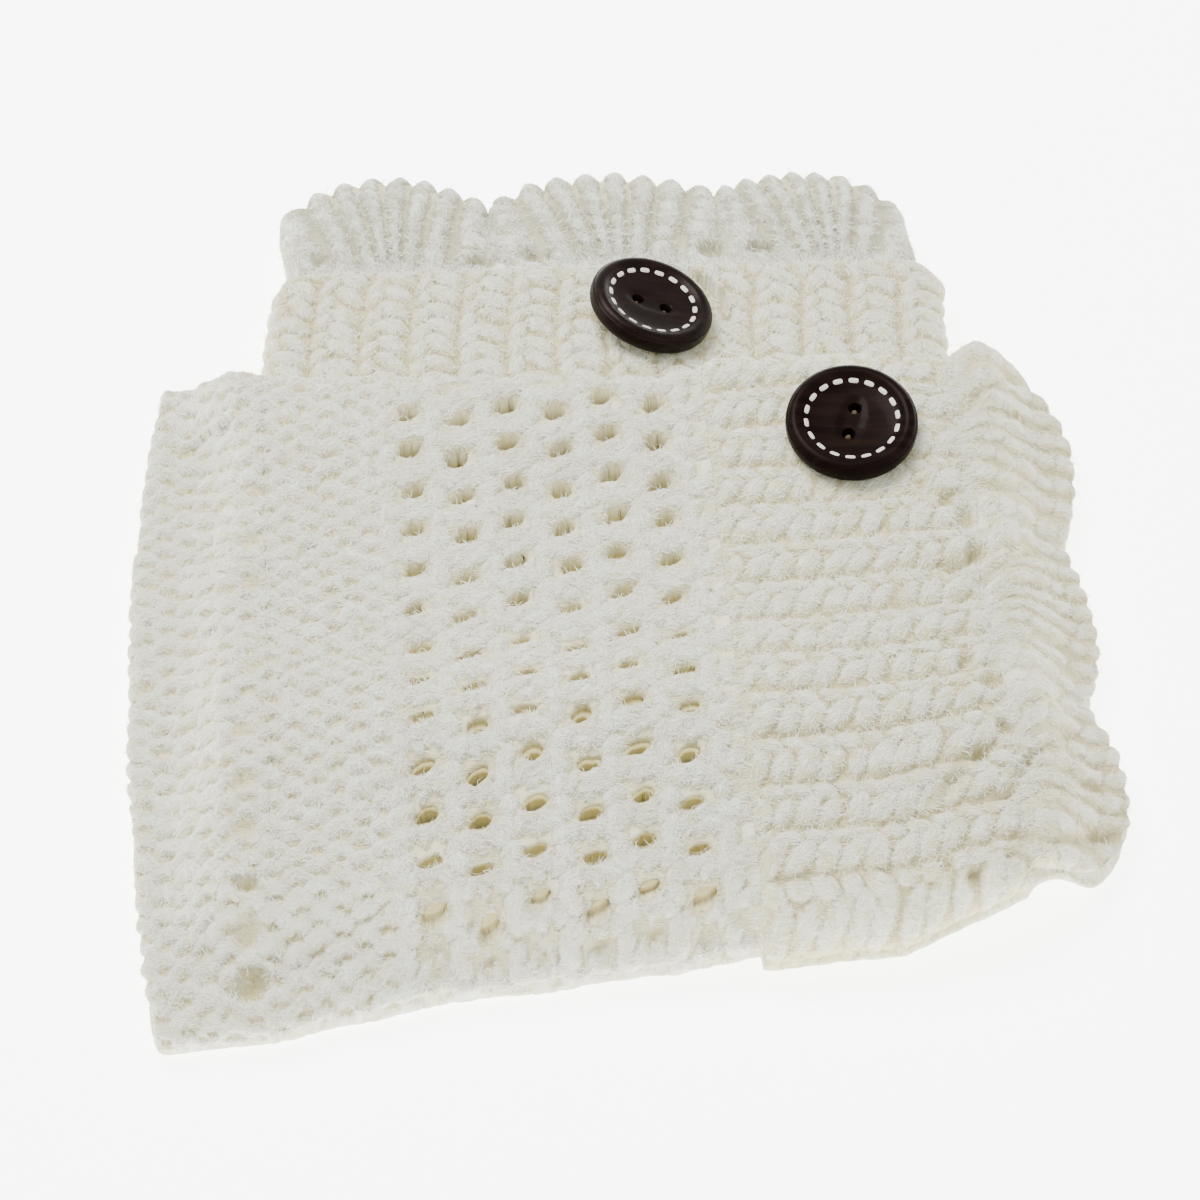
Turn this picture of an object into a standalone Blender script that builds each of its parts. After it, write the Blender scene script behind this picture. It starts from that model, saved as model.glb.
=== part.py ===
"""Pair of crochet leg warmers with wooden buttons, laid flat, one across the other.

Metres, +Z up. The origin is on the surface that the pair lies on, under the middle of
its outline. Sizes below are in millimetres.

Each leg warmer is a flattened tube: a moss stitch hem, an openwork leg, a ribbed band
and a scalloped edging. Every section has an upper and a lower wall, which meet at the
two side folds. In a leg warmer's own frame, along runs from the hem to the scallops and
across runs to the left of that way, from the centre line. The back one lies flat on the
surface. The front one lies across it, and falls to the surface past its edges.
"""

import math
from dataclasses import dataclass

import bpy
import numpy as np
from mathutils import Matrix, Vector

MM = 0.001

# The cloth.
WALL = 4.4  # one layer of the chunky knit
GAP = 0.3  # between pieces that meet
FOLD_RADIUS = 5.5  # of the rounded side folds
FOLD_FACE = 1.2  # height of the face in which a wall ends at a fold
END_RADIUS = 3.0  # of the rounded hem and scallops
UNDER_RADIUS = 3.0  # of the rounding round an underside
UNDER_LIFT = 1.8  # how far that rounding rises
TOP = 2 * WALL + GAP  # a whole flattened tube

# The sections, by their distance along the leg.
HEM_END = 21.0
LEG_END = 105.0
BAND_END = 152.0
HEM_BULGE = 5.3  # how far the hem's middle stands past its corners

# The openwork of the leg.
EYELET_COLUMNS = 6
EYELET_ROWS = 13
FIRST_COLUMN = 48.5
COLUMN_PITCH = 9.4
FIRST_ROW = 58.6
ROW_PITCH = 9.5
ROW_SLANT = 0.04  # rise of a row across for its way along
STAGGER = 2.7  # every other column is this much lower
EYELET_ALONG = 4.5
EYELET_ACROSS = 4.3
EYELET_SLANT = 0.7  # an eyelet leans this much more across at its far side than at its near one

# The ribs of the band and of the fans.
RIBS = 14
RIB_HEIGHT = 1.3
FAN_RIBS = 8
FAN_RIB_HEIGHT = 1.0
FAN_SPREAD = 0.55  # how far a fan's ribs are spread where they leave the band

# How the front leg warmer falls past the edges of the back one.
LEDGE = 1.5
FALL = 15.0
RIBS_RISE_FROM = 86.0  # the place along the back one where it starts to climb its ribs
RIBS_RISE = 12.0

# The open hem of the back one, which lifts what lies on it.
ARCH_HEIGHT = 3.4
ARCH_MIDDLE = 31.0
ARCH_REACH = 28.0

# The buttons.
BUTTON_THICKNESS = 4.5
BUTTON_STEPS = 32
PRESSED_REACH = 17.0  # the knit is pressed down under a button, this far from its middle
DRAWN_REACH = 24.0  # and drawn up to its high side, this far from its middle
DRAWN_MOST = 3.0
HOLE_RADIUS = 1.1
HOLE_SPACING = 5.8
HOLE_SIDES = 12

# The turned outline of a button, from the middle of its top to the middle of its underside:
# distance from its axis, height.
BUTTON_PROFILE = (
    (0.0, 3.0),
    (6.2, 3.1),
    (8.8, 3.6),
    (10.2, 4.4),
    (11.3, 4.4),
    (12.2, 3.5),
    (12.5, 2.2),
    (12.1, 0.9),
    (10.9, 0.1),
    (8.0, 0.0),
    (0.0, 0.0),
)


@dataclass(frozen=True)
class Button:
    """A sewn button: the middle of its underside, and how it leans and is turned, in degrees."""

    x: float
    y: float
    lift: float  # of its middle over the ribs
    lean: float
    lean_towards: float
    turn: float  # of the line through its two holes


@dataclass(frozen=True)
class LegWarmer:
    """A leg warmer: the middle of its hem, the way it points in degrees, and its outline.

    The rows of sides are distance along, right side, left side. The rows of fans are
    right end across, left end across, tip along, right end along, left end along.
    """

    name: str
    x: float
    y: float
    heading: float
    sides: tuple
    fans: tuple
    button: Button
    arch: float = 0.0
    hem_start: float = 0.0

    def world(self, along, across):
        """Place in the plan of points given in the leg warmer's own frame."""
        turn = math.radians(self.heading)
        x = self.x + along * math.cos(turn) - across * math.sin(turn)
        y = self.y + along * math.sin(turn) + across * math.cos(turn)
        return x, y

    def local(self, x, y):
        """Distance along and across of points given by their place in the plan."""
        turn = math.radians(self.heading)
        along = (x - self.x) * math.cos(turn) + (y - self.y) * math.sin(turn)
        across = (y - self.y) * math.cos(turn) - (x - self.x) * math.sin(turn)
        return along, across

    def edges(self, along):
        """Distance across of the right and of the left fold, at a distance along."""
        rows = np.array(self.sides)
        right = -np.interp(along, rows[:, 0], rows[:, 1])
        left = np.interp(along, rows[:, 0], rows[:, 2])
        return right, left


BACK = LegWarmer(
    name="back",
    x=4.2,
    y=-74.6,
    heading=92.0,
    sides=(
        (0.0, 67.0, 70.0),
        (50.0, 66.5, 70.0),
        (104.9, 64.5, 68.0),
        (105.1, 66.0, 70.0),
        (134.0, 65.5, 70.3),
        (146.0, 66.5, 69.0),
        (152.0, 62.5, 66.0),
        (160.0, 61.0, 66.5),
        (169.0, 60.0, 68.0),
        (180.0, 59.0, 67.0),
    ),
    fans=(
        (-60.0, -22.0, 180.2, 167.0, 175.5),
        (-22.0, 25.4, 180.8, 175.5, 172.0),
        (25.4, 68.0, 181.0, 172.0, 168.5),
    ),
    button=Button(x=5.6, y=61.6, lift=1.3, lean=18.0, lean_towards=14.7, turn=-10.0),
    arch=ARCH_HEIGHT,
    hem_start=3.0,
)

FRONT = LegWarmer(
    name="front",
    x=-84.8,
    y=-32.6,
    heading=4.0,
    sides=(
        (0.0, 74.5, 80.0),
        (20.0, 73.0, 71.5),
        (50.0, 67.0, 68.6),
        (76.0, 65.5, 67.0),
        (104.9, 63.3, 65.6),
        (105.1, 65.3, 67.6),
        (130.0, 63.8, 67.8),
        (151.0, 58.5, 65.8),
        (156.0, 56.0, 68.5),
        (166.0, 53.5, 72.5),
        (174.0, 52.0, 73.0),
    ),
    fans=(
        (-53.0, -12.0, 174.2, 163.0, 170.4),
        (-12.0, 26.5, 174.2, 170.4, 171.4),
        (26.5, 73.0, 176.0, 171.4, 166.5),
    ),
    button=Button(x=43.6, y=22.0, lift=0.1, lean=9.0, lean_towards=-90.0, turn=76.0),
)

# The two largest eyelets beside the front hem: across, size across.
HEM_EYELETS = (
    (-65.1, 5.8),
    (-49.5, 4.2),
)
HEM_EYELET_MIDDLE = 16.8
HEM_EYELET_ALONG = 5.5

# Soft troughs and ridges pressed into the front leg's upper wall:
# along, across, reach along, reach across, height.
CREASES = (
    (62.0, -1.0, 46.0, 9.0, -1.3),
    (70.0, -19.0, 44.0, 12.0, 1.0),
    (10.0, 18.0, 16.0, 14.0, 0.9),
    (8.0, -30.0, 16.0, 18.0, 0.8),
)

# The colours of the materials: red, green, blue, roughness.
KNIT_FINISH = (0.78, 0.76, 0.69, 0.95)
RIB_FINISH = (0.80, 0.78, 0.72, 0.95)
WOOD_FINISH = (0.022, 0.012, 0.009, 0.22)


def ramp(share):
    """Smooth step from 0 to 1 as the share goes from 0 to 1."""
    share = np.clip(share, 0.0, 1.0)
    return share * share * (3 - 2 * share)


def rounded(distance, radius):
    """Height share of a quarter circle, 0 at the edge and 1 a radius inside it."""
    share = np.clip(1 - distance / radius, 0.0, 1.0)
    return np.sqrt(1 - share * share)


def bump(distance, reach):
    """Smooth hump, 1 in the middle and 0 from its reach on."""
    return ramp(1 - np.abs(distance) / reach)


def arch_of(cuff, along, across):
    """How far the upper wall is lifted off the lower one, near an open hem."""
    right, left = cuff.edges(along)
    middle = (right + left) / 2
    half = (left - right) / 2
    share = np.clip(np.abs((across - middle) / half), 0.0, 1.0)
    return cuff.arch * bump(along - ARCH_MIDDLE, ARCH_REACH) * (1 - share**4)


def support(cuff, x, y):
    """Height that the underside lies on: the surface, or the back leg warmer and past it."""
    if cuff is BACK:
        return np.zeros_like(x)
    along, across = BACK.local(x, y)
    right, left = BACK.edges(along)
    past_side = np.maximum(np.maximum(across - left, right - across), 0.0)
    past_hem = np.maximum(BACK.hem_start - HEM_BULGE - along, 0.0)
    past = np.hypot(past_side, past_hem)
    over_ribs = RIB_HEIGHT * ramp((along - RIBS_RISE_FROM) / RIBS_RISE)
    over_arch = BACK.arch * bump(along - ARCH_MIDDLE, ARCH_REACH)
    height = TOP + GAP + over_ribs + over_arch
    return height * (1 - ramp((past - LEDGE) / FALL))


def button_frame(cuff):
    """Place of the middle of a button's underside, and the turn of the button."""
    button = cuff.button
    under = support(cuff, np.array(button.x), np.array(button.y))
    place = Vector((button.x, button.y, float(under) + TOP + RIB_HEIGHT + button.lift))
    towards = math.radians(button.lean_towards)
    axis = Vector((-math.sin(towards), math.cos(towards), 0.0))
    lean = Matrix.Rotation(math.radians(button.lean), 3, axis)
    turn = Matrix.Rotation(math.radians(button.turn), 3, "Z")
    return place, lean @ turn


def meet_button(cuff, x, y, top):
    """Top of the knit, pressed down under the button and drawn up to its high side."""
    place, turn = button_frame(cuff)
    normal = turn @ Vector((0.0, 0.0, 1.0))
    slope = (normal.x * (x - place.x) + normal.y * (y - place.y)) / normal.z
    highest = place.z - slope - GAP
    away = np.hypot(x - place.x, y - place.y)
    drawn = np.clip(highest - top, 0.0, DRAWN_MOST) * ramp(1 - away / DRAWN_REACH)
    return np.where(away < PRESSED_REACH, np.minimum(top + drawn, highest), top + drawn)


def crease_of(cuff, along, across):
    """Sum of the soft troughs and ridges of the front leg warmer."""
    total = np.zeros_like(along)
    if cuff is FRONT:
        for mid_along, mid_across, reach_along, reach_across, height in CREASES:
            share = np.hypot((along - mid_along) / reach_along, (across - mid_across) / reach_across)
            total = total + height * ramp(1 - share)
    return total


def wall_points(cuff, along, across, end_distance, relief, upper):
    """Top and bottom points of a wall over a grid of places along and across.

    The end distance is how far each point is inside the hem or the scallops, and the
    relief is what its ribs add to the outer side of an upper wall.
    """
    x, y = cuff.world(along, across)
    right, left = cuff.edges(along)
    fold_distance = np.minimum(left - across, across - right)
    under = support(cuff, x, y)
    if upper:
        inner = under + WALL + GAP + arch_of(cuff, along, across)
        shape = rounded(fold_distance, FOLD_RADIUS) * rounded(end_distance, END_RADIUS)
        rise = WALL - FOLD_FACE + relief + crease_of(cuff, along, across)
        top = meet_button(cuff, x, y, inner + FOLD_FACE + rise * shape)
        bottom = inner
    else:
        edge_distance = np.minimum(fold_distance, end_distance)
        top = under + WALL
        bottom = under + UNDER_LIFT * (1 - rounded(edge_distance, UNDER_RADIUS))
    return np.stack([x, y, top], axis=-1), np.stack([x, y, bottom], axis=-1)


def between_folds(cuff, along, shares):
    """Distance across of points given as shares of the way from the right to the left fold."""
    right, left = cuff.edges(along)
    return right + (left - right) * shares


def material(name, finish):
    """Principled material of a plain colour and roughness."""
    red, green, blue, roughness = finish
    made = bpy.data.materials.new(name)
    made.use_nodes = True
    shader = made.node_tree.nodes["Principled BSDF"]
    shader.inputs["Base Color"].default_value = (red, green, blue, 1.0)
    shader.inputs["Roughness"].default_value = roughness
    shader.inputs["Metallic"].default_value = 0.0
    made.diffuse_color = (red, green, blue, 1.0)
    return made


def add_object(name, mesh, collection, finish):
    """Object of a mesh, in a collection, with its own material."""
    obj = bpy.data.objects.new(name, mesh)
    mesh.materials.append(material(name, finish))
    collection.objects.link(obj)
    return obj


def wall_mesh(name, top, bottom, eyelets):
    """Closed wall between a top and a bottom grid of points, open at the eyelet cells."""
    rows, columns = top.shape[:2]
    points = np.concatenate([top.reshape(-1, 3), bottom.reshape(-1, 3)]) * MM
    solid = np.ones((rows + 1, columns + 1), bool)
    solid[0, :] = solid[-1, :] = solid[:, 0] = solid[:, -1] = False
    for i, j in eyelets:
        solid[i + 1, j + 1] = False
    below = rows * columns
    used = set()
    faces = []
    for i in range(rows - 1):
        for j in range(columns - 1):
            if not solid[i + 1, j + 1]:
                continue
            a = i * columns + j
            b = a + columns
            ring = (a, b, b + 1, a + 1)
            used.update(ring)
            faces.append(ring)
            faces.append((a + below, a + 1 + below, b + 1 + below, b + below))
            sides = (
                (a + 1, a, solid[i, j + 1]),
                (b, b + 1, solid[i + 2, j + 1]),
                (a, b, solid[i + 1, j]),
                (b + 1, a + 1, solid[i + 1, j + 2]),
            )
            for start, end, neighbour in sides:
                if not neighbour:
                    faces.append((end, start, start + below, end + below))
    keep = sorted(used)
    renumber = {old: new for new, old in enumerate(keep + [k + below for k in keep])}
    mesh = bpy.data.meshes.new(name)
    mesh.from_pydata(
        [tuple(points[old]) for old in renumber],
        [],
        [tuple(renumber[corner] for corner in face) for face in faces],
    )
    mesh.validate()
    mesh.shade_flat()
    return mesh


def hem(cuff, upper, name, collection):
    """The moss stitch hem, whose free edge bulges in the middle."""
    eyelet_start = HEM_EYELET_MIDDLE - HEM_EYELET_ALONG / 2
    eyelet_end = HEM_EYELET_MIDDLE + HEM_EYELET_ALONG / 2
    rounding = np.array([0.0, 1.2, 4.0, 8.5]) + cuff.hem_start
    steps = np.append(rounding, [eyelet_start, eyelet_end, HEM_END - GAP / 2])
    right, left = (side[:, None] for side in cuff.edges(steps))
    borders = [middle + side * size / 2 for middle, size in HEM_EYELETS for side in (-1, 1)]
    inner = np.sort(np.append(borders, [-57.0, -40.0, -30.0, -15.0, 0.0, 15.0, 30.0, 45.0, 58.0]))
    across = np.concatenate(
        [
            right + np.array([0.0, 1.3, 3.6]),
            np.broadcast_to(inner, (len(steps), len(inner))),
            left - np.array([5.8, 3.6, 1.3, 0.0]),
        ],
        axis=1,
    )
    bow = np.clip(1 - (across / right) ** 2, 0.0, 1.0)
    along = steps[:, None] - HEM_BULGE * bow * (1 - steps[:, None] / HEM_END)
    end_distance = np.broadcast_to((steps - cuff.hem_start)[:, None], along.shape)
    top, bottom = wall_points(cuff, along, across, end_distance, 0.0, upper)
    eyelets = []
    if cuff is FRONT and upper:
        row = len(rounding)
        for middle, _ in HEM_EYELETS:
            eyelets.append((row, int(np.searchsorted(across[row], middle)) - 1))
    return add_object(name, wall_mesh(name, top, bottom, eyelets), collection, KNIT_FINISH)


def leg(cuff, upper, name, collection):
    """The leg: moss stitch beside the hem, then the columns of staggered eyelets."""
    columns = FIRST_COLUMN + COLUMN_PITCH * np.arange(EYELET_COLUMNS)
    borders = np.stack([columns - EYELET_ALONG / 2, columns + EYELET_ALONG / 2], axis=1)
    steps = np.concatenate([[HEM_END + GAP / 2, 31.0, 40.0], borders.ravel(), [LEG_END - GAP / 2]])
    lowered = np.zeros(len(steps))
    for k in range(EYELET_COLUMNS):
        lowered[3 + 2 * k : 5 + 2 * k] = -STAGGER * (k % 2)
        lowered[3 + 2 * k] -= EYELET_SLANT / 2
        lowered[4 + 2 * k] += EYELET_SLANT / 2
    shift = lowered + ROW_SLANT * (steps - (FIRST_COLUMN + LEG_END) / 2)
    middles = FIRST_ROW - ROW_PITCH * np.arange(EYELET_ROWS)[::-1]
    lines = np.stack([middles - EYELET_ACROSS / 2, middles + EYELET_ACROSS / 2], axis=1).ravel()
    right, left = cuff.edges(steps)
    across = np.concatenate(
        [
            (right[:, None] + np.array([0.0, 1.0, 2.6])),
            lines[None, :] + shift[:, None],
            (left[:, None] - np.array([2.6, 1.0, 0.0])),
        ],
        axis=1,
    )
    along = np.broadcast_to(steps[:, None], across.shape)
    top, bottom = wall_points(cuff, along, across, np.full(along.shape, END_RADIUS), 0.0, upper)
    first_row = 0 if cuff is FRONT and upper else 1
    eyelets = [
        (3 + 2 * k, 3 + 2 * row)
        for k in range(EYELET_COLUMNS)
        for row in range(first_row, EYELET_ROWS)
    ]
    return add_object(name, wall_mesh(name, top, bottom, eyelets), collection, KNIT_FINISH)


def plain_leg(cuff, name, collection):
    """The upper wall of the back leg, which the front leg warmer hides."""
    steps = np.array([HEM_END + GAP / 2, 28.0, 35.0, 42.0, 48.0, 54.0, 60.0, LEG_END - GAP / 2])
    shares = np.array([0.0, 0.01, 0.03, 0.12, 0.3, 0.5, 0.7, 0.88, 0.97, 0.99, 1.0])
    along = np.broadcast_to(steps[:, None], (len(steps), len(shares)))
    across = between_folds(cuff, along, shares)
    top, bottom = wall_points(cuff, along, across, np.full(along.shape, END_RADIUS), 0.0, True)
    return add_object(name, wall_mesh(name, top, bottom, ()), collection, KNIT_FINISH)


def rib_shares(ribs, points):
    """Shares of the width and the heights of evenly spaced ribs.

    The points are rows of place in the rib, from 0 to 1, and height of the rib there.
    """
    places = []
    heights = []
    for rib in range(ribs):
        for place, height in points:
            places.append((rib + place) / ribs)
            heights.append(height)
    return np.array(places + [1.0]), np.array(heights + [points[0][1]])


def band(cuff, upper, name, collection):
    """The ribbed band, whose ribs run along the leg.

    Both walls of the front one share their lines across, so that they fall side by side.
    """
    if upper:
        steps = np.array([0.0, 6.9, 14.4, 20.4, 26.4, 32.9, 39.9, BAND_END - LEG_END - GAP])
    else:
        steps = np.array([0.0, 20.4, 39.9, BAND_END - LEG_END - GAP])
    steps = steps + LEG_END + GAP / 2
    if upper or cuff is FRONT:
        shares, heights = rib_shares(RIBS, ((0.0, 0.0), (0.28, 1.0), (0.72, 1.0)))
        shares = np.insert(shares, (1, -1), (0.008, 0.992))
        heights = np.insert(heights, (1, -1), (0.3, 0.3))
    else:
        shares = np.array([0.0, 0.01, 0.03, 0.3, 0.7, 0.97, 0.99, 1.0])
        heights = np.zeros(len(shares))
    along = np.broadcast_to(steps[:, None], (len(steps), len(shares)))
    across = between_folds(cuff, along, shares)
    inside = np.full(along.shape, END_RADIUS)
    top, bottom = wall_points(cuff, along, across, inside, RIB_HEIGHT * heights, upper)
    return add_object(name, wall_mesh(name, top, bottom, ()), collection, RIB_FINISH)


def edging(cuff, upper, name, collection):
    """The scalloped edging: three fans, whose ribs spread from the band to a round edge."""
    rows = np.array([0.0, 0.3, 0.6, 0.86, 1.0])
    ribs = FAN_RIBS if upper or cuff is FRONT else FAN_RIBS // 2
    points = ((0.0, 0.0), (0.5, 1.0))
    base = BAND_END + GAP / 2
    starts = []
    ends = []
    tips = []
    heights = []
    right, left = (float(side) for side in cuff.edges(base))
    stretch = (left - right) / (cuff.fans[-1][1] - cuff.fans[0][0])
    for fan_right, fan_left, tip, along_right, along_left in cuff.fans:
        shares, height = rib_shares(ribs, points)
        shares = shares[:-1]
        height = height[:-1]
        middle = (fan_right + fan_left) / 2
        half = (fan_left - fan_right) / 2
        side = 2 * shares - 1
        spread = FAN_SPREAD * side + (1 - FAN_SPREAD) * side**3
        starts.append(right + stretch * (middle + half * spread - cuff.fans[0][0]))
        ends.append(middle + half * side)
        foot = along_right + (along_left - along_right) * shares
        tips.append(foot + (tip - foot) * np.sqrt(1 - side * side))
        heights.append(height)
    starts = np.concatenate(starts + [[left]])
    ends = np.concatenate(ends + [[cuff.fans[-1][1]]])
    tips = np.concatenate(tips + [[cuff.fans[-1][4]]])
    heights = np.concatenate(heights + [[0.0]])
    along = base + (tips - base) * rows[:, None]
    across = starts + (ends - starts) * rows[:, None] ** 0.8
    reach = (tips - base) * (1 - rows[:, None])
    faded = heights * ramp(rows[:, None] / 0.3)
    top, bottom = wall_points(cuff, along, across, reach, FAN_RIB_HEIGHT * faded, upper)
    return add_object(name, wall_mesh(name, top, bottom, ()), collection, RIB_FINISH)


def button(cuff, name, collection, cutters):
    """A turned wooden button with a raised rim, a dished middle and two holes."""
    mesh = bpy.data.meshes.new(name)
    outline = [(radius * MM, 0.0, height * MM) for radius, height in BUTTON_PROFILE]
    mesh.from_pydata(outline, [(k, k + 1) for k in range(len(outline) - 1)], [])
    turned = add_object(name, mesh, collection, WOOD_FINISH)
    screw = turned.modifiers.new("Turn", "SCREW")
    screw.steps = screw.render_steps = BUTTON_STEPS
    screw.use_merge_vertices = True
    screw.merge_threshold = 0.00001
    place, turn = button_frame(cuff)
    turned.location = place * MM
    turned.rotation_euler = turn.to_euler()
    for side in (-1, 1):
        bpy.ops.mesh.primitive_cylinder_add(
            vertices=HOLE_SIDES, radius=HOLE_RADIUS * MM, depth=4 * BUTTON_THICKNESS * MM
        )
        drill = bpy.context.object
        drill.name = f"{name}_drill_{'left' if side < 0 else 'right'}"
        drill.parent = turned
        drill.location = (side * HOLE_SPACING / 2 * MM, 0.0, 0.0)
        drill.hide_render = True
        drill.display_type = "WIRE"
        for holder in list(drill.users_collection):
            holder.objects.unlink(drill)
        cutters.objects.link(drill)
        cut = turned.modifiers.new("Hole", "BOOLEAN")
        cut.operation = "DIFFERENCE"
        cut.object = drill
    return turned


def clear_scene():
    """Remove everything that the file opened with."""
    for obj in list(bpy.data.objects):
        bpy.data.objects.remove(obj, do_unlink=True)


def main():
    """Build both leg warmers, section by section."""
    clear_scene()
    pair = bpy.data.collections.new("crochet_leg_warmers")
    cutters = bpy.data.collections.new("cutters")
    cutters.hide_render = True
    for collection in (pair, cutters):
        bpy.context.scene.collection.children.link(collection)
    for cuff in (BACK, FRONT):
        for upper, layer in ((True, "upper"), (False, "lower")):
            hem(cuff, upper, f"{cuff.name}_hem_{layer}", pair)
            if cuff is BACK and upper:
                plain_leg(cuff, f"{cuff.name}_leg_{layer}", pair)
            else:
                leg(cuff, upper, f"{cuff.name}_leg_{layer}", pair)
            band(cuff, upper, f"{cuff.name}_band_{layer}", pair)
            edging(cuff, upper, f"{cuff.name}_edging_{layer}", pair)
        button(cuff, f"{cuff.name}_button", pair, cutters)


main()
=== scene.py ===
"""Looks of the pair of crochet leg warmers with wooden buttons.

Lengths in the tables and dataclasses are in millimetres unless a name says otherwise, and
meshes are written in metres. In a leg warmer's own frame, along runs from the hem to the
scallops and across runs to the left of that way. The folds, sections and eyelets lie where
the model's solids have them; the stitches, the yarn and its fuzz are added here.
"""

import logging
import math
from dataclasses import dataclass, field
from enum import Enum

import bpy
import numpy as np
from mathutils import Matrix, Vector


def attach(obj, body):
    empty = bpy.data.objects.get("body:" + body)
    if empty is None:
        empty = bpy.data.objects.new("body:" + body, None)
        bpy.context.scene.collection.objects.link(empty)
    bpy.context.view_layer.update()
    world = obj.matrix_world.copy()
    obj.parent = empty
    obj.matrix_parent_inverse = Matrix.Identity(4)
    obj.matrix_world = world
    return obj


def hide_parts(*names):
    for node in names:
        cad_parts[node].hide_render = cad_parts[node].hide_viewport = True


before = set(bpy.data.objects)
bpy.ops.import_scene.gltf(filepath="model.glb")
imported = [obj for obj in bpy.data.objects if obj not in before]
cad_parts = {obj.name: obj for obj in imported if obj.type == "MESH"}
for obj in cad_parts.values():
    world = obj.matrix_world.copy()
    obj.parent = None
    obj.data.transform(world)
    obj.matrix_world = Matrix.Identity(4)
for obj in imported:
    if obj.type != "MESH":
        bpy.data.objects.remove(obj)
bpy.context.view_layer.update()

Array = np.ndarray
Object = bpy.types.Object
Material = bpy.types.Material
Socket = bpy.types.NodeSocket
Given = Socket | float | tuple  # what an input of a node is given
Log = logging.getLogger("leg_warmers")
MM = 0.001

# The cloth, as in the solids.
WALL = 4.4
GAP = 0.3
FOLD_RADIUS = 5.5
UNDER_RADIUS = 4.0
FOLD_MIDDLE = 4.5  # height at which the upper and the lower wall meet on a fold
TOP = 2 * WALL + GAP
HEM_END = 21.0
LEG_END = 105.0
BAND_END = 152.0
EDGING_END = 176.0  # about where the fans end, for the number of rows
HEM_BULGE = 5.3
INNER_RADIUS = 2.0  # of the inner face at a fold
JOIN = 0.02  # by which each section stops short of the next
BUTT = 0.06  # between the last two lines of points at such an end
CLEARANCE = 0.02  # of the lowest points above the floor

# The openwork.
EYELET_COLUMNS = 6
EYELET_ROWS = 13
FIRST_COLUMN = 48.5
COLUMN_PITCH = 9.4
FIRST_ROW = 58.6
ROW_PITCH = 9.5
ROW_SLANT = 0.04
STAGGER = 2.7
EYELET_HALF_ALONG = 2.0
EYELET_HALF_ACROSS = 1.45
EYELET_LEAN = 0.3
DIMPLE_ROW = 2.9  # distance from the near fold of the eyelets that are pressed shut on it
DIMPLE_SHAPE = (1.7, 0.9, 0.2)  # their half along, half across and lean

# The seam between the leg and the band, and the uneven folds.
SEAM_REACH = 1.7
SEAM_DEPTH = 0.35
# painted shade in the seam's groove
SEAM_PIT_SHADE = 0.4
CREASE_REACH = 0.35  # of the line that runs along each fold
CREASE_DEPTH = 0.5
# painted shade along each fold's line
CREASE_PIT_SHADE = 0.1
FUZZ_FROM = 0.35  # share of the relief that shows, from which fuzz grows
EDGE_SWING = 0.5  # most by which a fold swings in or out
EDGE_SWING_OVER = 7.5  # length over which it swings

# The squeezed rows of the openwork, across.
SQUEEZED_ROW = 1.0
SQUEEZED_REACH = 26.0
SQUEEZE = 0.45

# The ribs.
RIBS = 14
RIB_HEIGHT = 1.3
FAN_RIBS = 8
FAN_RIB_HEIGHT = 1.45
FAN_SPREAD = 0.34

# How the front leg warmer falls past the edges of the back one.
LEDGE = 1.5
FALL = 15.0
RIBS_RISE_FROM = 86.0
RIBS_RISE = 12.0
ARCH_HEIGHT = 3.4
ARCH_MIDDLE = 31.0
ARCH_REACH = 28.0
PRESSED_REACH = 17.0
DRAWN_REACH = 24.0
DRAWN_MOST = 3.0

# The sine that gives uneven values: its steps for two whole numbers and a seed.
HASH_STEPS = (127.1, 311.7, 74.7)
HASH_SCALE = 43758.5453


class Side(Enum):
    """The wall of a flattened tube that a surface belongs to."""

    UPPER = "upper"
    LOWER = "lower"


@dataclass(frozen=True)
class ButtonSeat:
    """Where a button is sewn on, and how it leans and is turned, in degrees."""

    x: float
    y: float
    lift: float
    lean: float
    lean_towards: float
    turn: float


@dataclass(frozen=True)
class Cuff:
    """One leg warmer: where it lies, which way it points, and its outline.

    The rows of sides are distance along, right side, left side. The rows of fans are right
    end across, left end across, tip along, right end along, left end along.
    """

    name: str
    x: float
    y: float
    heading: float
    sides: tuple
    fans: tuple
    seat: ButtonSeat
    arch: float = 0.0
    hem_start: float = 0.0

    def world(self, along: Array, across: Array) -> tuple[Array, Array]:
        """Place in the plan of points given in the leg warmer's own frame.

        Args:
            along: Distances along.
            across: Distances across.

        Returns:
            The x and y of each point: the distances, turned by the heading and moved.
        """
        turn = math.radians(self.heading)
        x = self.x + along * math.cos(turn) - across * math.sin(turn)
        y = self.y + along * math.sin(turn) + across * math.cos(turn)
        return x, y

    def local(self, x: Array, y: Array) -> tuple[Array, Array]:
        """Place in the leg warmer's own frame of points given in the plan.

        Args:
            x: First coordinates.
            y: Second coordinates.

        Returns:
            The distances along and across: the coordinates, moved and turned back.
        """
        turn = math.radians(self.heading)
        along = (x - self.x) * math.cos(turn) + (y - self.y) * math.sin(turn)
        across = (y - self.y) * math.cos(turn) - (x - self.x) * math.sin(turn)
        return along, across

    def edges(self, along: Array) -> tuple[Array, Array]:
        """Distance across of the right and of the left fold, at a distance along.

        Both are read from the table of sides, and swing in and out a little, unevenly.

        Args:
            along: Distances along.

        Returns:
            The right fold, below zero, and the left one.
        """
        rows = np.array(self.sides)
        right = -np.interp(along, rows[:, 0], rows[:, 1])
        left = np.interp(along, rows[:, 0], rows[:, 2])
        step = np.asarray(along) / EDGE_SWING_OVER
        right_swing, left_swing = (noise(step, place + 0 * step) for place in (self.y, self.x))
        return right + EDGE_SWING * right_swing, left + EDGE_SWING * left_swing


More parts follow.
